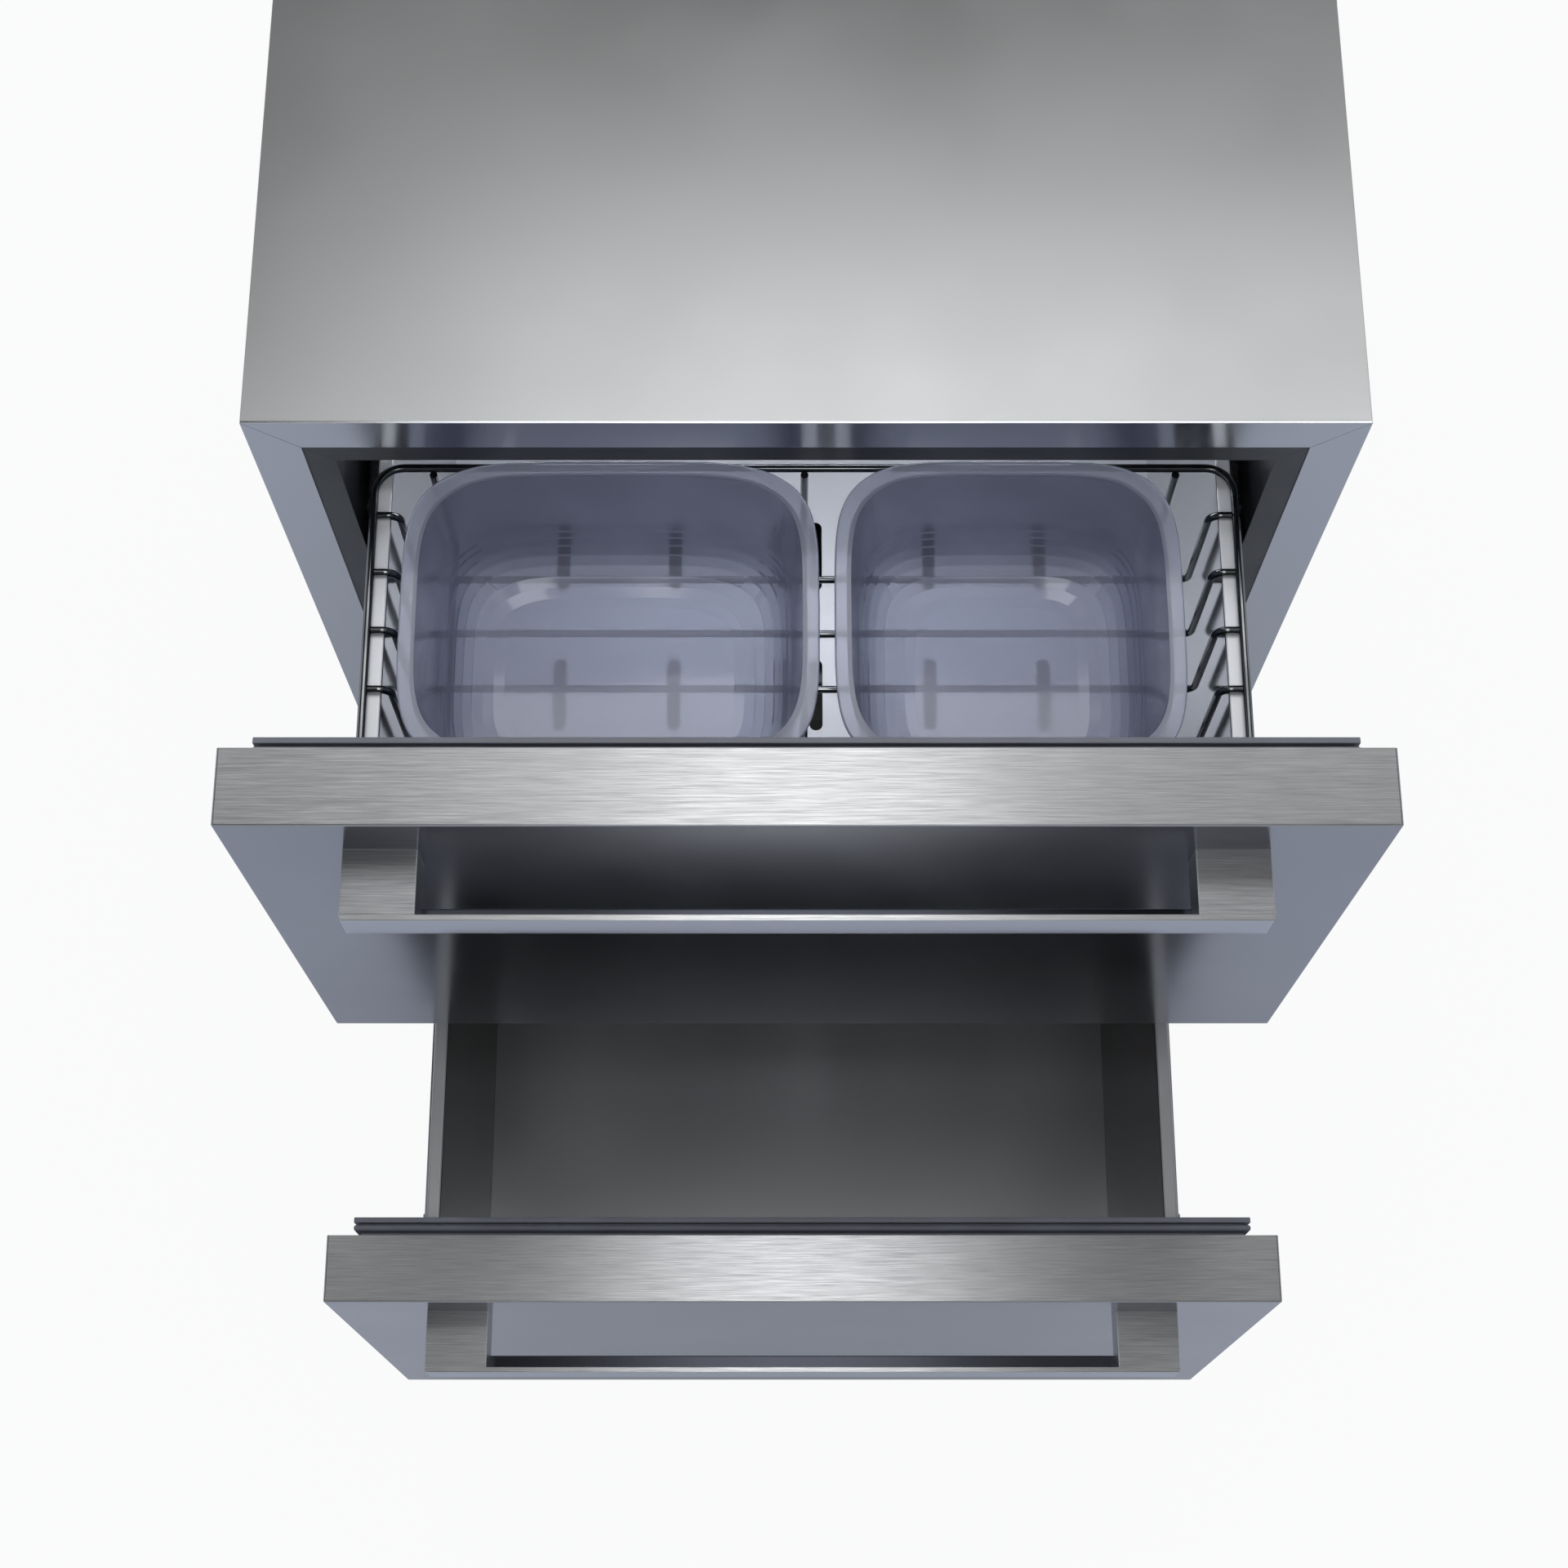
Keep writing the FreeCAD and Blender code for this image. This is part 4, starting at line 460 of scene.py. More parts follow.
@dataclass(frozen=True)
class PolishedSteel(Finish):
    """Flat polished steel: clear, slightly soft reflections with hairline scratches."""

    tone: str = "b9bcc2"
    roughness: float = 0.12
    painted_edge_highlight_tone: str = "eaebec"
    hairline_mm: float = 0.9
    stroke_mm: float = 60.0
    smear_mm: float = 70.0
    edge_mm: float = 0.5

    def work(self, tree: bpy.types.NodeTree, shader: bpy.types.Node) -> None:
        """Gives polished plate hairlines, small smears and a painted highlight on its edges.

        Args:
            tree: The material's node tree.
            shader: The Principled shader that is set up.
        """
        fine = per_metre(self.hairline_mm)
        hair = add_node(tree, "ShaderNodeTexNoise", {
            "Vector": self.place(tree, (per_metre(self.stroke_mm), fine, fine)), "Scale": 1.0, "Detail": 2.0
        }).outputs["Fac"]
        smear = add_node(tree, "ShaderNodeTexNoise", {
            "Vector": self.place(tree), "Scale": per_metre(self.smear_mm), "Detail": 4.0
        }).outputs["Fac"]
        mask, rounded = self.edges(tree, self.edge_mm)
        shader.inputs["Metallic"].default_value = 1.0
        # Painted highlight: the edges' colour is lightened.
        tree.links.new(
            add_node(tree, "ShaderNodeMix", {
                0: mask, 6: linear(self.tone), 7: linear(self.painted_edge_highlight_tone)
            }, data_type="RGBA").outputs[2],
            shader.inputs["Base Color"]
        )
        tree.links.new(
            add_node(tree, "ShaderNodeMapRange", {
                0: smear, 1: NOISE_LOW, 2: NOISE_HIGH, 3: self.roughness - 0.03, 4: self.roughness + 0.05
            }).outputs[0],
            shader.inputs["Roughness"]
        )
        bump = add_node(tree, "ShaderNodeBump", {"Height": hair, "Strength": 0.04, "Distance": 0.00005,
                                                 "Normal": rounded})
        tree.links.new(bump.outputs["Normal"], shader.inputs["Normal"])


@dataclass(frozen=True)
class BoxSteel(Finish):
    """Bright-annealed sheet of a drawer box: mirror walls, satin on what lies flat."""

    wall_tone: str = "8f8e8b"
    flat_tone: str = "c4c5c7"
    wall_roughness: float = 0.11
    flat_roughness: float = 0.30
    wall_metal: float = 1.0
    flat_metal: float = 1.0
    painted_edge_highlight_tone: str = "dcddde"
    edge_mm: float = 0.4
    smear_mm: float = 90.0
    grain_per_metre: tuple[float, float, float] = (30, 900, 900)

    def work(self, tree: bpy.types.NodeTree, shader: bpy.types.Node) -> None:
        """Makes the walls mirror-like and the floor and ledges satin, with a painted highlight on the cut
        edges.

        Args:
            tree: The material's node tree.
            shader: The Principled shader that is set up.
        """
        normal = add_node(tree, "ShaderNodeTexCoord").outputs["Normal"]
        upward = add_node(tree, "ShaderNodeSeparateXYZ", {0: normal}).outputs[2]
        flat = add_node(tree, "ShaderNodeMapRange", {0: upward, 1: 0.5, 2: 0.8, 3: 0, 4: 1}).outputs[0]
        smear = add_node(tree, "ShaderNodeTexNoise", {
            "Vector": self.place(tree), "Scale": per_metre(self.smear_mm), "Detail": 2.0
        }).outputs["Fac"]
        grain = add_node(tree, "ShaderNodeTexNoise", {
            "Vector": self.place(tree, self.grain_per_metre), "Scale": 1.0, "Detail": 2.0
        }).outputs["Fac"]
        mask, rounded = self.edges(tree, self.edge_mm)
        tree.links.new(
            add_node(tree, "ShaderNodeMapRange", {
                0: flat, 1: 0, 2: 1, 3: self.wall_metal, 4: self.flat_metal
            }).outputs[0],
            shader.inputs["Metallic"]
        )
        body = add_node(tree, "ShaderNodeMix", {
            0: flat, 6: linear(self.wall_tone), 7: linear(self.flat_tone)
        }, data_type="RGBA").outputs[2]
        # Painted highlight on the cut edges.
        edged = add_node(tree, "ShaderNodeMix", {0: mask, 6: body, 7: linear(self.painted_edge_highlight_tone)}, data_type="RGBA")
        tree.links.new(edged.outputs[2], shader.inputs["Base Color"])
        base = add_node(tree, "ShaderNodeMapRange", {
            0: flat, 1: 0, 2: 1, 3: self.wall_roughness, 4: self.flat_roughness
        }).outputs[0]
        rough = add_node(tree, "ShaderNodeMath", {
            0: base,
            1: add_node(tree, "ShaderNodeMapRange", {0: smear, 1: 0.1, 2: 0.9, 3: -0.03, 4: 0.04}).outputs[0]
        }, operation="ADD").outputs[0]
        tree.links.new(rough, shader.inputs["Roughness"])
        bump = add_node(tree, "ShaderNodeBump", {"Height": grain, "Strength": 0.06, "Distance": 0.00006,
                                                 "Normal": rounded})
        tree.links.new(bump.outputs["Normal"], shader.inputs["Normal"])


@dataclass(frozen=True)
class CoatedSheet(Finish):
    """Painted or powder-coated sheet: even colour with an orange-peel skin."""

    tone: str = "26282c"
    worn_tone: str = "484a4f"
    roughness: float = 0.38
    peel_mm: float = 1.8
    peel: float = 0.12
    shine: float = 0.25
    patch_mm: float = 60.0
    edge_mm: float = 0.6

    def work(self, tree: bpy.types.NodeTree, shader: bpy.types.Node) -> None:
        """Gives coated sheet its orange peel, uneven gloss and rubbed edges.

        Args:
            tree: The material's node tree.
            shader: The Principled shader that is set up.
        """
        place = self.place(tree)
        peel = add_node(tree, "ShaderNodeTexNoise", {"Vector": place, "Scale": per_metre(self.peel_mm),
                                                     "Detail": 1.5}).outputs["Fac"]
        patch = add_node(tree, "ShaderNodeTexNoise", {"Vector": place, "Scale": per_metre(self.patch_mm),
                                                      "Detail": 4.0}).outputs["Fac"]
        mask, rounded = self.edges(tree, self.edge_mm)
        worn = add_node(tree, "ShaderNodeMath", {
            0: mask,
            1: add_node(tree, "ShaderNodeMapRange", {
                0: patch, 1: NOISE_LOW, 2: NOISE_HIGH, 3: 0.2, 4: 0.9
            }).outputs[0]
        }, operation="MULTIPLY").outputs[0]
        tree.links.new(
            add_node(tree, "ShaderNodeMix", {
                0: worn, 6: linear(self.tone), 7: linear(self.worn_tone)
            }, data_type="RGBA").outputs[2],
            shader.inputs["Base Color"]
        )
        tree.links.new(
            add_node(tree, "ShaderNodeMapRange", {
                0: patch, 1: NOISE_LOW, 2: NOISE_HIGH, 3: self.roughness - 0.06, 4: self.roughness + 0.08
            }).outputs[0],
            shader.inputs["Roughness"]
        )
        shader.inputs["Coat Weight"].default_value = self.shine
        shader.inputs["Coat Roughness"].default_value = 0.22
        bump = add_node(tree, "ShaderNodeBump", {"Height": peel, "Strength": self.peel, "Distance": 0.0002,
                                                 "Normal": rounded})
        tree.links.new(bump.outputs["Normal"], shader.inputs["Normal"])


@dataclass(frozen=True)
class ZincCoated(Finish):
    """Zinc-coated steel: spangle on sheet, or a fine frosted grain on small parts."""

    tone: str = "a9adb0"
    dark_tone: str = "979ba0"
    painted_edge_highlight_tone: str = "cfd2d4"
    edge_mm: float = 0.4
    spangle_mm: float = 9.0
    roughness: float = 0.36

    def work(self, tree: bpy.types.NodeTree, shader: bpy.types.Node) -> None:
        """Gives zinc its crystal spangle, each cell a little darker and rougher or not.

        Args:
            tree: The material's node tree.
            shader: The Principled shader that is set up.
        """
        place = self.place(tree)
        bend = add_node(tree, "ShaderNodeTexNoise", {"Vector": place, "Scale": per_metre(self.spangle_mm * 0.6),
                                                     "Detail": 2.0}).outputs["Color"]
        moved = add_node(tree, "ShaderNodeMix", {0: 0.004, 4: place, 5: bend}, data_type="VECTOR").outputs[1]
        cells = add_node(tree, "ShaderNodeTexVoronoi", {"Vector": moved, "Scale": per_metre(self.spangle_mm)})
        tint = add_node(tree, "ShaderNodeSeparateColor", {0: cells.outputs["Color"]}).outputs[0]
        mask, rounded = self.edges(tree, self.edge_mm)
        shader.inputs["Metallic"].default_value = 1.0
        body = add_node(tree, "ShaderNodeMix", {
            0: tint, 6: linear(self.dark_tone), 7: linear(self.tone)
        }, data_type="RGBA").outputs[2]
        # Painted highlight on the edges.
        edged = add_node(tree, "ShaderNodeMix", {0: mask, 6: body, 7: linear(self.painted_edge_highlight_tone)}, data_type="RGBA")
        tree.links.new(edged.outputs[2], shader.inputs["Base Color"])
        tree.links.new(
            add_node(tree, "ShaderNodeMapRange", {
                0: tint, 1: 0, 2: 1, 3: self.roughness - 0.07, 4: self.roughness + 0.1
            }).outputs[0],
            shader.inputs["Roughness"]
        )
        bump = add_node(tree, "ShaderNodeBump", {"Height": tint, "Strength": 0.05, "Distance": 0.0002,
                                                 "Normal": rounded})
        tree.links.new(bump.outputs["Normal"], shader.inputs["Normal"])


@dataclass(frozen=True)
class BareMetal(Finish):
    """Drawn or plated bare metal: wires, tubes and fins, with tarnish in patches."""

    tone: str = "b87350"
    tarnish_tone: str = "7d4a35"
    roughness: float = 0.33
    patch_mm: float = 22.0
    pit_mm: float = 1.2
    tarnish: float = 0.6

    def work(self, tree: bpy.types.NodeTree, shader: bpy.types.Node) -> None:
        """Gives bare metal its tarnish patches, drawing marks and uneven gloss.

        Args:
            tree: The material's node tree.
            shader: The Principled shader that is set up.
        """
        place = self.place(tree)
        patch = add_node(tree, "ShaderNodeTexNoise", {"Vector": place, "Scale": per_metre(self.patch_mm),
                                                      "Detail": 5.0}).outputs["Fac"]
        pits = add_node(tree, "ShaderNodeTexNoise", {"Vector": place, "Scale": per_metre(self.pit_mm),
                                                     "Detail": 2.0}).outputs["Fac"]
        shader.inputs["Metallic"].default_value = 1.0
        tree.links.new(
            add_node(tree, "ShaderNodeMix", {
                0: add_node(tree, "ShaderNodeMapRange", {
                    0: patch, 1: 0.35, 2: 0.65, 3: self.tarnish, 4: 0.0
                }).outputs[0],
                6: linear(self.tone), 7: linear(self.tarnish_tone)
            }, data_type="RGBA").outputs[2],
            shader.inputs["Base Color"]
        )
        tree.links.new(
            add_node(tree, "ShaderNodeMapRange", {
                0: patch, 1: NOISE_LOW, 2: NOISE_HIGH, 3: self.roughness + 0.1, 4: self.roughness - 0.04
            }).outputs[0],
            shader.inputs["Roughness"]
        )
        bump = add_node(tree, "ShaderNodeBump", {"Height": pits, "Strength": 0.08, "Distance": 0.0001})
        tree.links.new(bump.outputs["Normal"], shader.inputs["Normal"])


@dataclass(frozen=True)
class MouldedPlastic(Finish):
    """Injection-moulded plastic or rubber with a spark-eroded skin."""

    tone: str = "17181a"
    pale_tone: str = "2a2b2e"
    roughness: float = 0.48
    grain_mm: float = 0.8
    grain: float = 0.2
    scuff_mm: float = 35.0
    edge_mm: float = 0.5

    def work(self, tree: bpy.types.NodeTree, shader: bpy.types.Node) -> None:
        """Gives moulded parts their fine skin, dusty scuffs and slightly paler edges.

        Args:
            tree: The material's node tree.
            shader: The Principled shader that is set up.
        """
        place = self.place(tree)
        skin = add_node(tree, "ShaderNodeTexNoise", {"Vector": place, "Scale": per_metre(self.grain_mm),
                                                     "Detail": 2.0}).outputs["Fac"]
        scuff = add_node(tree, "ShaderNodeTexNoise", {"Vector": place, "Scale": per_metre(self.scuff_mm),
                                                      "Detail": 5.0}).outputs["Fac"]
        mask, rounded = self.edges(tree, self.edge_mm)
        pale = add_node(tree, "ShaderNodeMath", {
            0: mask,
            1: add_node(tree, "ShaderNodeMapRange", {
                0: scuff, 1: NOISE_LOW, 2: NOISE_HIGH, 3: 0.0, 4: 0.5
            }).outputs[0]
        }, operation="MAXIMUM").outputs[0]
        tree.links.new(
            add_node(tree, "ShaderNodeMix", {
                0: pale, 6: linear(self.tone), 7: linear(self.pale_tone)
            }, data_type="RGBA").outputs[2],
            shader.inputs["Base Color"]
        )
        tree.links.new(
            add_node(tree, "ShaderNodeMapRange", {
                0: scuff, 1: NOISE_LOW, 2: NOISE_HIGH, 3: self.roughness - 0.07, 4: self.roughness + 0.1
            }).outputs[0],
            shader.inputs["Roughness"]
        )
        bump = add_node(tree, "ShaderNodeBump", {"Height": skin, "Strength": self.grain, "Distance": 0.00015,
                                                 "Normal": rounded})
        tree.links.new(bump.outputs["Normal"], shader.inputs["Normal"])


@dataclass(frozen=True)
class ClearPlastic(Finish):
    """Tinted see-through plastic: smoky bins, or the lamp's frosted lens."""

    tone: str = "8388a0"
    roughness: float = 0.10
    clear: float = 0.6
    shadow_tone: str = "f4f5f9"
    top_painted_light_tone: str = ""
    glow: float = 0.0
    glow_tone: str = "f4f7ff"
    smear_mm: float = 45.0
    flow_mm: float = 16.0

    def work(self, tree: bpy.types.NodeTree, shader: bpy.types.Node) -> None:
        """Lets part of the light through and lays flow marks and wiping smears on the gloss.

        Args:
            tree: The material's node tree.
            shader: The Principled shader that is set up.
        """
        place = self.place(tree)
        smear = add_node(tree, "ShaderNodeTexNoise", {"Vector": place, "Scale": per_metre(self.smear_mm),
                                                      "Detail": 4.0}).outputs["Fac"]
        flow = add_node(tree, "ShaderNodeTexNoise", {"Vector": place, "Scale": per_metre(self.flow_mm),
                                                     "Detail": 1.0}).outputs["Fac"]
        deep = tuple(part * 0.86 for part in linear(self.tone)[:3]) + (1.0,)
        body = add_node(tree, "ShaderNodeMix", {
            0: add_node(tree, "ShaderNodeMapRange", {
                0: smear, 1: NOISE_LOW, 2: NOISE_HIGH, 3: 0, 4: 1
            }).outputs[0],
            6: deep, 7: linear(self.tone)
        }, data_type="RGBA").outputs[2]
        # Painted light: faces that look up, such as the rim, take a lighter tone, as if lit by the open sky
        # above.
        normal = add_node(tree, "ShaderNodeTexCoord").outputs["Normal"]
        rise = add_node(tree, "ShaderNodeSeparateXYZ", {0: normal}).outputs[2]
        rim = add_node(tree, "ShaderNodeMix", {
            0: add_node(tree, "ShaderNodeMapRange", {0: rise, 1: 0.5, 2: 0.9, 3: 0, 4: 1}).outputs[0],
            6: body, 7: linear(self.top_painted_light_tone or self.tone)
        }, data_type="RGBA")
        tree.links.new(rim.outputs[2], shader.inputs["Base Color"])
        tree.links.new(
            add_node(tree, "ShaderNodeMapRange", {
                0: smear, 1: NOISE_LOW, 2: NOISE_HIGH, 3: self.roughness - 0.02, 4: self.roughness + 0.05
            }).outputs[0],
            shader.inputs["Roughness"]
        )
        shader.inputs["Transmission Weight"].default_value = self.clear
        shader.inputs["IOR"].default_value = 1.49
        if self.glow:
            shader.inputs["Emission Color"].default_value = linear(self.glow_tone)
            shader.inputs["Emission Strength"].default_value = self.glow
        bump = add_node(tree, "ShaderNodeBump", {"Height": flow, "Strength": 0.03, "Distance": 0.0008})
        tree.links.new(bump.outputs["Normal"], shader.inputs["Normal"])

    def surface(self, tree: bpy.types.NodeTree, shader: bpy.types.Node) -> bpy.types.NodeSocket:
        """Lets tinted lamp light through, so that what lies under clear plastic isn't left in the dark.

        Args:
            tree: The material's node tree.
            shader: The Principled shader that is set up.

        Returns:
            The socket that the material shows.
        """
        tint = add_node(tree, "ShaderNodeBsdfTransparent", {"Color": linear(self.shadow_tone)})
        rays = add_node(tree, "ShaderNodeLightPath").outputs
        return add_node(tree, "ShaderNodeMixShader", {0: rays["Is Shadow Ray"], 1: shader.outputs["BSDF"],
                                                      2: tint.outputs[0]}).outputs[0]


@dataclass(frozen=True)
class FoamFill(Finish):
    """Rigid polyurethane foam: matt, cream, with small cells."""

    tone: str = "d9cfa9"
    aged_tone: str = "c9b983"
    cell_mm: float = 2.0
    patch_mm: float = 50.0

    def work(self, tree: bpy.types.NodeTree, shader: bpy.types.Node) -> None:
        """Gives the foam its cells and yellowed patches.

        Args:
            tree: The material's node tree.
            shader: The Principled shader that is set up.
        """
        place = self.place(tree)
        cells = add_node(tree, "ShaderNodeTexVoronoi", {
            "Vector": place, "Scale": per_metre(self.cell_mm)
        }).outputs[0]
        patch = add_node(tree, "ShaderNodeTexNoise", {
            "Vector": place, "Scale": per_metre(self.patch_mm)
        }).outputs["Fac"]
        tree.links.new(
            add_node(tree, "ShaderNodeMix", {
                0: patch, 6: linear(self.tone), 7: linear(self.aged_tone)
            }, data_type="RGBA").outputs[2],
            shader.inputs["Base Color"]
        )
        shader.inputs["Roughness"].default_value = 0.9
        bump = add_node(tree, "ShaderNodeBump", {"Height": cells, "Strength": 0.5, "Distance": 0.0006})
        tree.links.new(bump.outputs["Normal"], shader.inputs["Normal"])


# What each finish gives the eye stands beside it.
CABINET_SKIN = SatinSteel("steel_sheet_satin_rolled")  # wide, soft gradient over the roof
DOOR_SHEET = DoorSheet("steel_sheet_door_brushed_edge")  # drawn-out highlight on top, dull mirror in front
# The post's bright edges are painted highlights.
POST_STEEL = BrushedSteel("steel_block_brushed", tone="c6c7c9", groove_tone="9d9ea2", roughness=0.31,
                          line_mm=0.5, edge_mm=1.0)  # streaky block with bright edges
FRAME_STEEL = PolishedSteel("steel_plate_polished", tone="cdd0d6")  # clear reflection of the drawer
BAR_STEEL = PullSteel("steel_pull_brushed_edge", face_tone="c8cbd4")  # bright top line, plain front
# The two boxes are lit and shaded copies of one steel: the lower box's walls are painted dark as shade under
# the upper drawer and as a painted reflection of the dark gap, and the upper box's pale floor tone is partly
# painted light.
UPPER_BOX = BoxSteel("steel_sheet_bright_upper_box", wall_tone="b4b5b8", flat_tone="ebecef",
                     flat_roughness=0.42, flat_metal=0.35)  # light inner walls and a pale satin floor
LOWER_BOX = BoxSteel("steel_sheet_bright_lower_box_painted_shade", wall_tone="34332f", flat_tone="b4b5b6",
                     flat_roughness=0.33, wall_metal=0.82, flat_metal=0.62)  # dark mirror walls
LINER_COAT = CoatedSheet("liner_sheet_powder_coated")  # charcoal band and dark cold space
RUNNER_ZINC = ZincCoated("runner_steel_zinc_plated", tone="b4b8bc", dark_tone="9b9fa4", spangle_mm=3.0,
                         roughness=0.36)
BACK_ZINC = ZincCoated("back_sheet_hot_dip_zinc")  # small, faint spangle on the plain back
SMALL_ZINC = ZincCoated("screw_steel_zinc_plated", tone="bcbfbd", dark_tone="a3a7a4", spangle_mm=1.6,
                        roughness=0.37)
BLACK_PAINT = CoatedSheet("grille_sheet_black_painted", tone="1c1d1f", worn_tone="4b4c4f", roughness=0.45)
COMPRESSOR_PAINT = CoatedSheet("compressor_shell_black_enamel", tone="121314", worn_tone="35363a",
                               roughness=0.30, peel_mm=3.0, peel=0.25, shine=0.5)
COPPER = BareMetal("copper_tube_drawn")  # warm tube with brown tarnish
FIN_METAL = BareMetal("aluminium_fins_mill", tone="c3c6c9", tarnish_tone="9a9ea2", roughness=0.32, tarnish=0.4)
WIRE_CHROME = BareMetal("basket_wire_black_chrome", tone="8c8f92", tarnish_tone="55585a", roughness=0.11,
                        patch_mm=30.0, tarnish=0.5)  # dark wire with sharp highlights
BLACK_PLASTIC = MouldedPlastic("plastic_black_moulded")
GREY_PLASTIC = MouldedPlastic("plastic_grey_moulded", tone="8d9094", pale_tone="a3a6aa", roughness=0.42)
RUBBER = MouldedPlastic("rubber_black_moulded", tone="141414", pale_tone="262626", roughness=0.7, grain=0.35)
SEAL_VINYL = MouldedPlastic("seal_vinyl_extruded", tone="676972", pale_tone="80828c", roughness=0.42,
                            grain_mm=1.4, grain=0.12)  # slate seal with dark folds
# Painted light: the bins' upward faces take the lighter top tone.
BIN_PLASTIC = ClearPlastic("bin_plastic_smoky", tone="8c90a3", top_painted_light_tone="b9bdcb",
                           roughness=0.07, clear=0.66)  # blue-grey glossy tub
LAMP_LENS = ClearPlastic("lamp_lens_frosted", tone="e9edf2", roughness=0.45, clear=0.35,
                         glow=14.0)  # lit white strip over the drawer
FOAM = FoamFill("foam_polyurethane_poured")


# --------------------------------------------------------------------------- sub-assemblies


class DrawerPlace(Enum):
    """Which of the two drawers a sub-assembly is."""

    UPPER = "upper"
    LOWER = "lower"


@dataclass
class SubAssembly:
    """A group of CAD nodes and the new pieces that go with them."""

    nodes: Mapping[str, bpy.types.Object]

    def finishes(self) -> dict[str, Finish]:
        """Gives the finish of each CAD node of this group."""
        raise NotImplementedError

    def dress(self) -> None:
        """Puts each CAD node's finish on it."""
        for name, finish in self.finishes().items():
            for material_slot in self.nodes[name].material_slots:
                material_slot.material = finish.material()
            LOG.info("%s dressed in %s", name, finish.name)

    def build(self) -> list[bpy.types.Object]:
        """Builds the group's new pieces; most groups have none."""
        return []


@dataclass
class CabinetShell(SubAssembly):
    """Outer sheets, face frame, liners and the mullion."""

    def finishes(self) -> dict[str, Finish]:
        """Gives the shell's finishes."""
        skins = {name: CABINET_SKIN for name in ("outer_top", "outer_side_left", "outer_side_right")}
        liners = {name: LINER_COAT for name in ("liner_left", "liner_right", "liner_top", "liner_bottom",
                                                "liner_back", "mullion_rail", "evaporator_cover")}
        plain = {name: BACK_ZINC for name in ("outer_back", "rear_cover", "base_pan")}
        return {**skins, **liners, **plain, "face_frame": FRAME_STEEL, "insulation": FOAM,
                "toe_grille": BLACK_PAINT, "cabinet_screws": SMALL_ZINC, "lead_gland": BLACK_PLASTIC}


@dataclass
class MachineSpace(SubAssembly):
    """Compressor, coils, pipes and fans."""

    def finishes(self) -> dict[str, Finish]:
        """Gives the machine's finishes."""
        return {"compressor": COMPRESSOR_PAINT, "compressor_grommets": RUBBER, "condenser": BLACK_PAINT,
                "evaporator": FIN_METAL, "refrigerant_lines": COPPER, "fan_brackets": BLACK_PLASTIC,
                "condenser_fan": BLACK_PLASTIC, "evaporator_fan": BLACK_PLASTIC,
                "control_module": GREY_PLASTIC, "light_bar": LAMP_LENS}


@dataclass
class FeetAndRunners(SubAssembly):
    """Levelling feet and the runner members."""

    def finishes(self) -> dict[str, Finish]:
        """Gives the finishes of the feet and of every runner member."""
        feet = {f"foot_{end}_{side}": SMALL_ZINC for end in ("front", "back") for side in ("left", "right")}
        runners = {name: RUNNER_ZINC for name in (
            "cabinet_runners", "upper_runner_inner", "upper_runner_middle",
            "lower_runner_inner", "lower_runner_middle")}
        return {**feet, **runners}


@dataclass
class WireBasket(SubAssembly):
    """The wire basket and its two smoky bins."""

    def finishes(self) -> dict[str, Finish]:
        """Gives the basket's finishes."""
        wires = {name: WIRE_CHROME for name in ("basket_rim", "basket_cross_wires", "basket_long_wires")}
        return {**wires, "bin_left": BIN_PLASTIC, "bin_right": BIN_PLASTIC}


@dataclass
class SealProfile:
    """Cross-section of the magnetic seal, in millimetres in from its outer edge and out from the door."""

    outer_side: tuple[Point, ...] = (
        (0.3, 0.0), (0.0, 0.2), (0.0, 4.6), (0.3, 4.9), (4.2, 5.0), (4.5, 5.3), (4.5, 6.9), (4.1, 7.3),
        (1.5, 7.5), (0.6, 8.2), (0.2, 9.6), (0.6, 11.0), (1.5, 11.7), (4.2, 11.8), (4.5, 12.0), (4.5, 12.7),
        (4.2, 12.9), (0.4, 13.0), (0.0, 13.3), (0.0, 16.1), (0.4, 16.6))
    face: tuple[Point, ...] = ((3.6, 16.7), (4.4, 16.3), (5.2, 16.7), (8.8, 16.7), (9.6, 16.3), (10.4, 16.7))
    width: float = 14.0
    root: Point = (1.0, 5.0)
    lip: Point = (13.0, 16.0)
    smooth_degrees: float = 50.0

    def give(self, depth: float) -> float:
        """Tells how freely the seal bends at a depth: 0 at its root and its lip, 1 between them."""
        rise = (depth - self.root[0]) / (self.root[1] - self.root[0])
        fall = (self.lip[1] - depth) / (self.lip[1] - self.lip[0])
        return max(0.0, min(1.0, rise)) * max(0.0, min(1.0, fall))

    def outline(self) -> list[Point]:
        """Gives the whole cross-section with moulded corners; its inner side mirrors the outer one."""
        inner_side = tuple((self.width - inward, depth) for inward, depth in reversed(self.outer_side))
        return rounded_profile(self.outer_side + self.face + inner_side, 2)


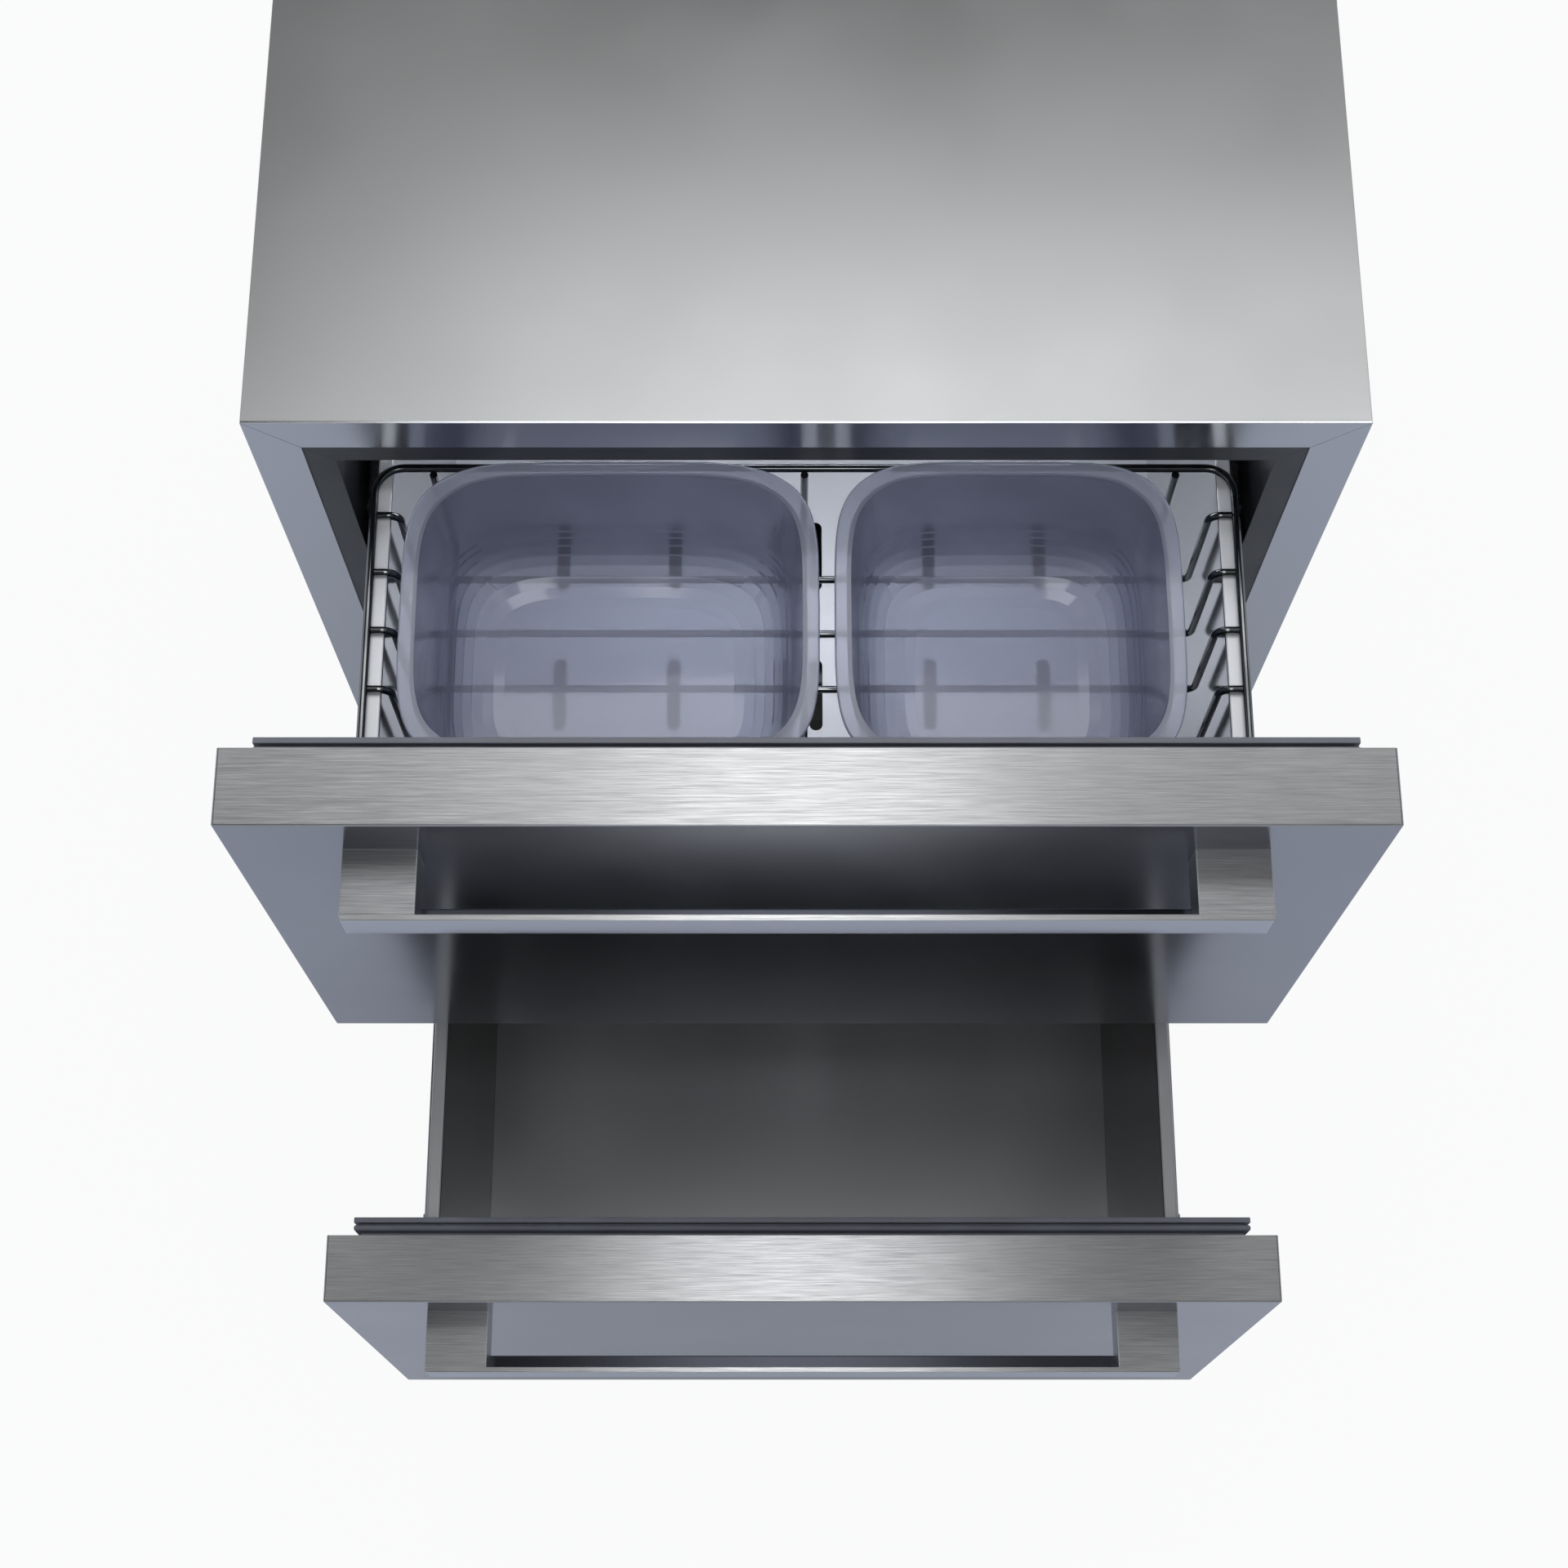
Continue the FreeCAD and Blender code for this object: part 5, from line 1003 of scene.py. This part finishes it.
@dataclass
class Drawer(SubAssembly):
    """One drawer: its door, pull, box and magnetic seal."""

    place: DrawerPlace
    seal: SealProfile
    seal_step: float = 22.0 * MM
    weld_rise: float = 0.25 * MM
    seal_wave: float = 0.12 * MM
    wave_turn: float = 1.9
    side_turn: float = 7.3

    def node(self, part: str) -> str:
        """Gives the CAD node's name of one of this drawer's parts."""
        return f"{self.place.value}_{part}"

    def finishes(self) -> dict[str, Finish]:
        """Gives the drawer's finishes."""
        box = UPPER_BOX if self.place is DrawerPlace.UPPER else LOWER_BOX
        named = {"door_skin": DOOR_SHEET, "door_core": FOAM, "door_liner": LINER_COAT, "handle_bar": BAR_STEEL,
                 "handle_posts": POST_STEEL, "box_sides": box, "box_back": box, "box_floor": box}
        return {self.node(part): finish for part, finish in named.items()}

    def build_seal(self) -> bpy.types.Object:
        """Builds the bellows seal round the door and hides the plain CAD one.

        Returns:
            The seal, which rides with its drawer.
        """
        low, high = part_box(self.node("gasket"))
        low, high = Vector(low), Vector(high)
        outline = self.seal.outline()
        mesh = bmesh.new()
        corners = [(low.x, low.z, 1, 1), (high.x, low.z, -1, 1),
                   (high.x, high.z, -1, -1), (low.x, high.z, 1, -1)]
        rings: list[list[bmesh.types.BMVert]] = []
        for number, (x, z, in_x, in_z) in enumerate(corners):
            after_x, after_z, after_in_x, after_in_z = corners[(number + 1) % 4]
            count = max(4, int(math.hypot(after_x - x, after_z - z) / self.seal_step))
            for step in range(count):
                share = step / count
                weld = self.weld_rise if step == 0 else 0.0
                turn = self.side_turn * number + step * self.wave_turn
                wave = 0.0 if step == 0 else self.seal_wave * math.sin(turn)
                ring = []
                for inward, depth in outline:
                    start = Vector((x + in_x * inward * MM, 0, z + in_z * inward * MM))
                    end = Vector((after_x + after_in_x * inward * MM, 0, after_z + after_in_z * inward * MM))
                    spot = start.lerp(end, share)
                    push = (wave - weld) * self.seal.give(depth)
                    spot.x += in_x * push if x == after_x or step == 0 else 0.0
                    spot.z += in_z * push if z == after_z or step == 0 else 0.0
                    spot.y = low.y + depth * MM
                    spot.x = min(max(spot.x, low.x), high.x)
                    spot.z = min(max(spot.z, low.z), high.z)
                    ring.append(mesh.verts.new(spot))
                rings.append(ring)
        for ring, after in zip(rings, rings[1:] + rings[:1]):
            for k in range(len(outline)):
                following = (k + 1) % len(outline)
                mesh.faces.new((ring[k], ring[following], after[following], after[k]))
        piece = new_piece(self.node("seal_bellows"), mesh, self.seal.smooth_degrees)
        piece.data.materials.append(SEAL_VINYL.material())
        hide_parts(self.node("gasket"))
        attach(piece, self.node("drawer"))
        LOG.info("%s built round the door", piece.name)
        return piece

    def build(self) -> list[bpy.types.Object]:
        """Builds the drawer's new pieces."""
        return [self.build_seal()]


# --------------------------------------------------------------------------- stage


@dataclass
class Stage:
    """Floor, lamps, surroundings and camera, none of which is part of the object."""

    floor_size: float = 30.0
    floor_tone: str = "b4bac6"
    floor_seen_white: float = 0.94
    floor_in_gloss: float = 0.12
    wall_heights: Point = (0.05, 0.62)
    wall_strengths: Point = (0.9, 0.06)
    room_tone: str = "f4f6fa"
    room_strength: float = 0.85
    camera_place: tuple[float, float, float] = (-0.0117, -0.7149, 2.1008)
    camera_tilt_degrees: float = 19.79
    focal_mm: float = 60.0
    sensor_mm: float = 36.0

    def floor(self) -> bpy.types.Object:
        """Lays a pale floor that the camera sees as white with the object's shadow.

        Returns:
            The floor.
        """
        mesh = bmesh.new()
        bmesh.ops.create_grid(mesh, x_segments=8, y_segments=8, size=self.floor_size / 2)
        piece = new_piece("stage_floor", mesh)
        made = bpy.data.materials.new("floor_paint_matt")
        made.use_nodes = True
        tree = made.node_tree
        tree.nodes.clear()
        matt = add_node(tree, "ShaderNodeBsdfDiffuse", {"Color": linear(self.floor_tone), "Roughness": 0.4})
        white = add_node(tree, "ShaderNodeEmission", {"Color": (1, 1, 1, 1), "Strength": 1.0})
        rays = add_node(tree, "ShaderNodeLightPath").outputs
        seen = add_node(tree, "ShaderNodeMath", {0: rays["Is Camera Ray"], 1: rays["Is Transmission Ray"]},
                        operation="MAXIMUM").outputs[0]
        weighed = add_node(tree, "ShaderNodeMath", {
            0: seen, 1: self.floor_seen_white
        }, operation="MULTIPLY").outputs[0]
        gloss = add_node(tree, "ShaderNodeMath", {0: rays["Is Glossy Ray"], 1: self.floor_in_gloss},
                         operation="MULTIPLY").outputs[0]
        share = add_node(tree, "ShaderNodeMath", {0: weighed, 1: gloss}, operation="MAXIMUM").outputs[0]
        mixed = add_node(tree, "ShaderNodeMixShader", {0: share, 1: matt.outputs[0], 2: white.outputs[0]})
        add_node(tree, "ShaderNodeOutputMaterial", {"Surface": mixed.outputs[0]})
        piece.data.materials.append(made)
        return piece

    def surroundings(self) -> None:
        """Makes a plain white studio that polished steel sees as bright walls under a dim ceiling."""
        world = bpy.data.worlds.new("studio_surroundings")
        bpy.context.scene.world = world
        world.use_nodes = True
        tree = world.node_tree
        tree.nodes.clear()
        rays = add_node(tree, "ShaderNodeLightPath").outputs
        way = add_node(tree, "ShaderNodeTexCoord").outputs["Generated"]
        height = add_node(tree, "ShaderNodeSeparateXYZ", {0: way}).outputs[2]
        wall = add_node(tree, "ShaderNodeMapRange", {
            0: height, 1: self.wall_heights[0], 2: self.wall_heights[1],
            3: self.wall_strengths[0], 4: self.wall_strengths[1]}, interpolation_type="SMOOTHSTEP").outputs[0]
        room = add_node(tree, "ShaderNodeBackground", {"Color": (1, 1, 1, 1), "Strength": wall})
        plain = add_node(tree, "ShaderNodeBackground", {
            "Color": linear(self.room_tone), "Strength": self.room_strength
        })
        white = add_node(tree, "ShaderNodeBackground", {"Color": (1, 1, 1, 1), "Strength": 1.0})
        lit = add_node(tree, "ShaderNodeMixShader", {0: rays["Is Glossy Ray"], 1: plain.outputs[0],
                                                     2: room.outputs[0]})
        seen = add_node(tree, "ShaderNodeMath", {0: rays["Is Camera Ray"], 1: rays["Is Transmission Ray"]},
                        operation="MAXIMUM").outputs[0]
        mixed = add_node(tree, "ShaderNodeMixShader", {0: seen, 1: lit.outputs[0], 2: white.outputs[0]})
        add_node(tree, "ShaderNodeOutputWorld", {"Surface": mixed.outputs[0]})

    @staticmethod
    def lamp(name: str, place: tuple[float, float, float], size: tuple[float, float], brightness: float,
             aim: tuple[float, float, float] = (0.0, 0.0, 0.4)) -> bpy.types.Object:
        """Hangs a soft box.

        Args:
            name: The lamp's name.
            place: Its middle, in metres.
            size: Its width and length, in metres.
            brightness: How bright its face looks, where 1 is white.
            aim: The point that it faces.

        Returns:
            The lamp.
        """
        data = bpy.data.lights.new(name, "AREA")
        data.shape = "RECTANGLE"
        data.size, data.size_y = size
        data.energy = brightness * math.pi * size[0] * size[1]
        lamp = bpy.data.objects.new(name, data)
        bpy.context.scene.collection.objects.link(lamp)
        lamp.location = place
        lamp.rotation_euler = (Vector(aim) - Vector(place)).to_track_quat("-Z", "Y").to_euler()
        lamp.visible_camera = False
        return lamp

    def lamps(self) -> None:
        """Hangs a wide box over the roof and a narrow bright one along the middle of the drawers."""
        self.lamp("overhead_wide", (0.45, 1.08, 3.2), (2.1, 0.7), 1.8, (0.45, 1.08, 0.0))
        self.lamp("overhead_strip", (0.0, -0.6, 3.0), (0.46, 2.4), 2.7, (0.0, -0.6, 0.0))
        self.lamp("overhead_left", (-0.8, 0.6, 3.2), (0.9, 0.9), 1.05, (-0.8, 0.6, 0.0))
        self.lamp("overhead_right", (0.8, -0.35, 3.2), (0.7, 0.9), 0.45, (0.8, -0.35, 0.0))

    def camera(self) -> None:
        """Sets the camera where the photograph was taken from: close above and before the drawers."""
        data = bpy.data.cameras.new("photo_camera")
        data.lens, data.sensor_width, data.sensor_fit = self.focal_mm, self.sensor_mm, "HORIZONTAL"
        data.clip_start, data.clip_end = 0.02, 100.0
        camera = bpy.data.objects.new("photo_camera", data)
        camera.location = self.camera_place
        camera.rotation_euler = (math.radians(self.camera_tilt_degrees), 0.0, 0.0)
        bpy.context.scene.collection.objects.link(camera)
        bpy.context.scene.camera = camera

    def build(self) -> None:
        """Sets the whole stage."""
        self.floor()
        self.surroundings()
        self.lamps()
        self.camera()
        bpy.context.scene.view_settings.view_transform = "Standard"


# --------------------------------------------------------------------------- main


def main() -> None:
    """Loads the frame, dresses and builds each sub-assembly, and sets the stage."""
    logging.basicConfig(level=logging.INFO, format="%(name)s: %(message)s")
    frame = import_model()
    nodes = frame["nodes"]
    groups: list[SubAssembly] = [
        CabinetShell(nodes), MachineSpace(nodes), FeetAndRunners(nodes), WireBasket(nodes),
        Drawer(nodes, DrawerPlace.UPPER, SealProfile()), Drawer(nodes, DrawerPlace.LOWER, SealProfile())]
    for group in groups:
        group.dress()
        group.build()
    Stage().build()


if __name__ == "__main__":
    main()
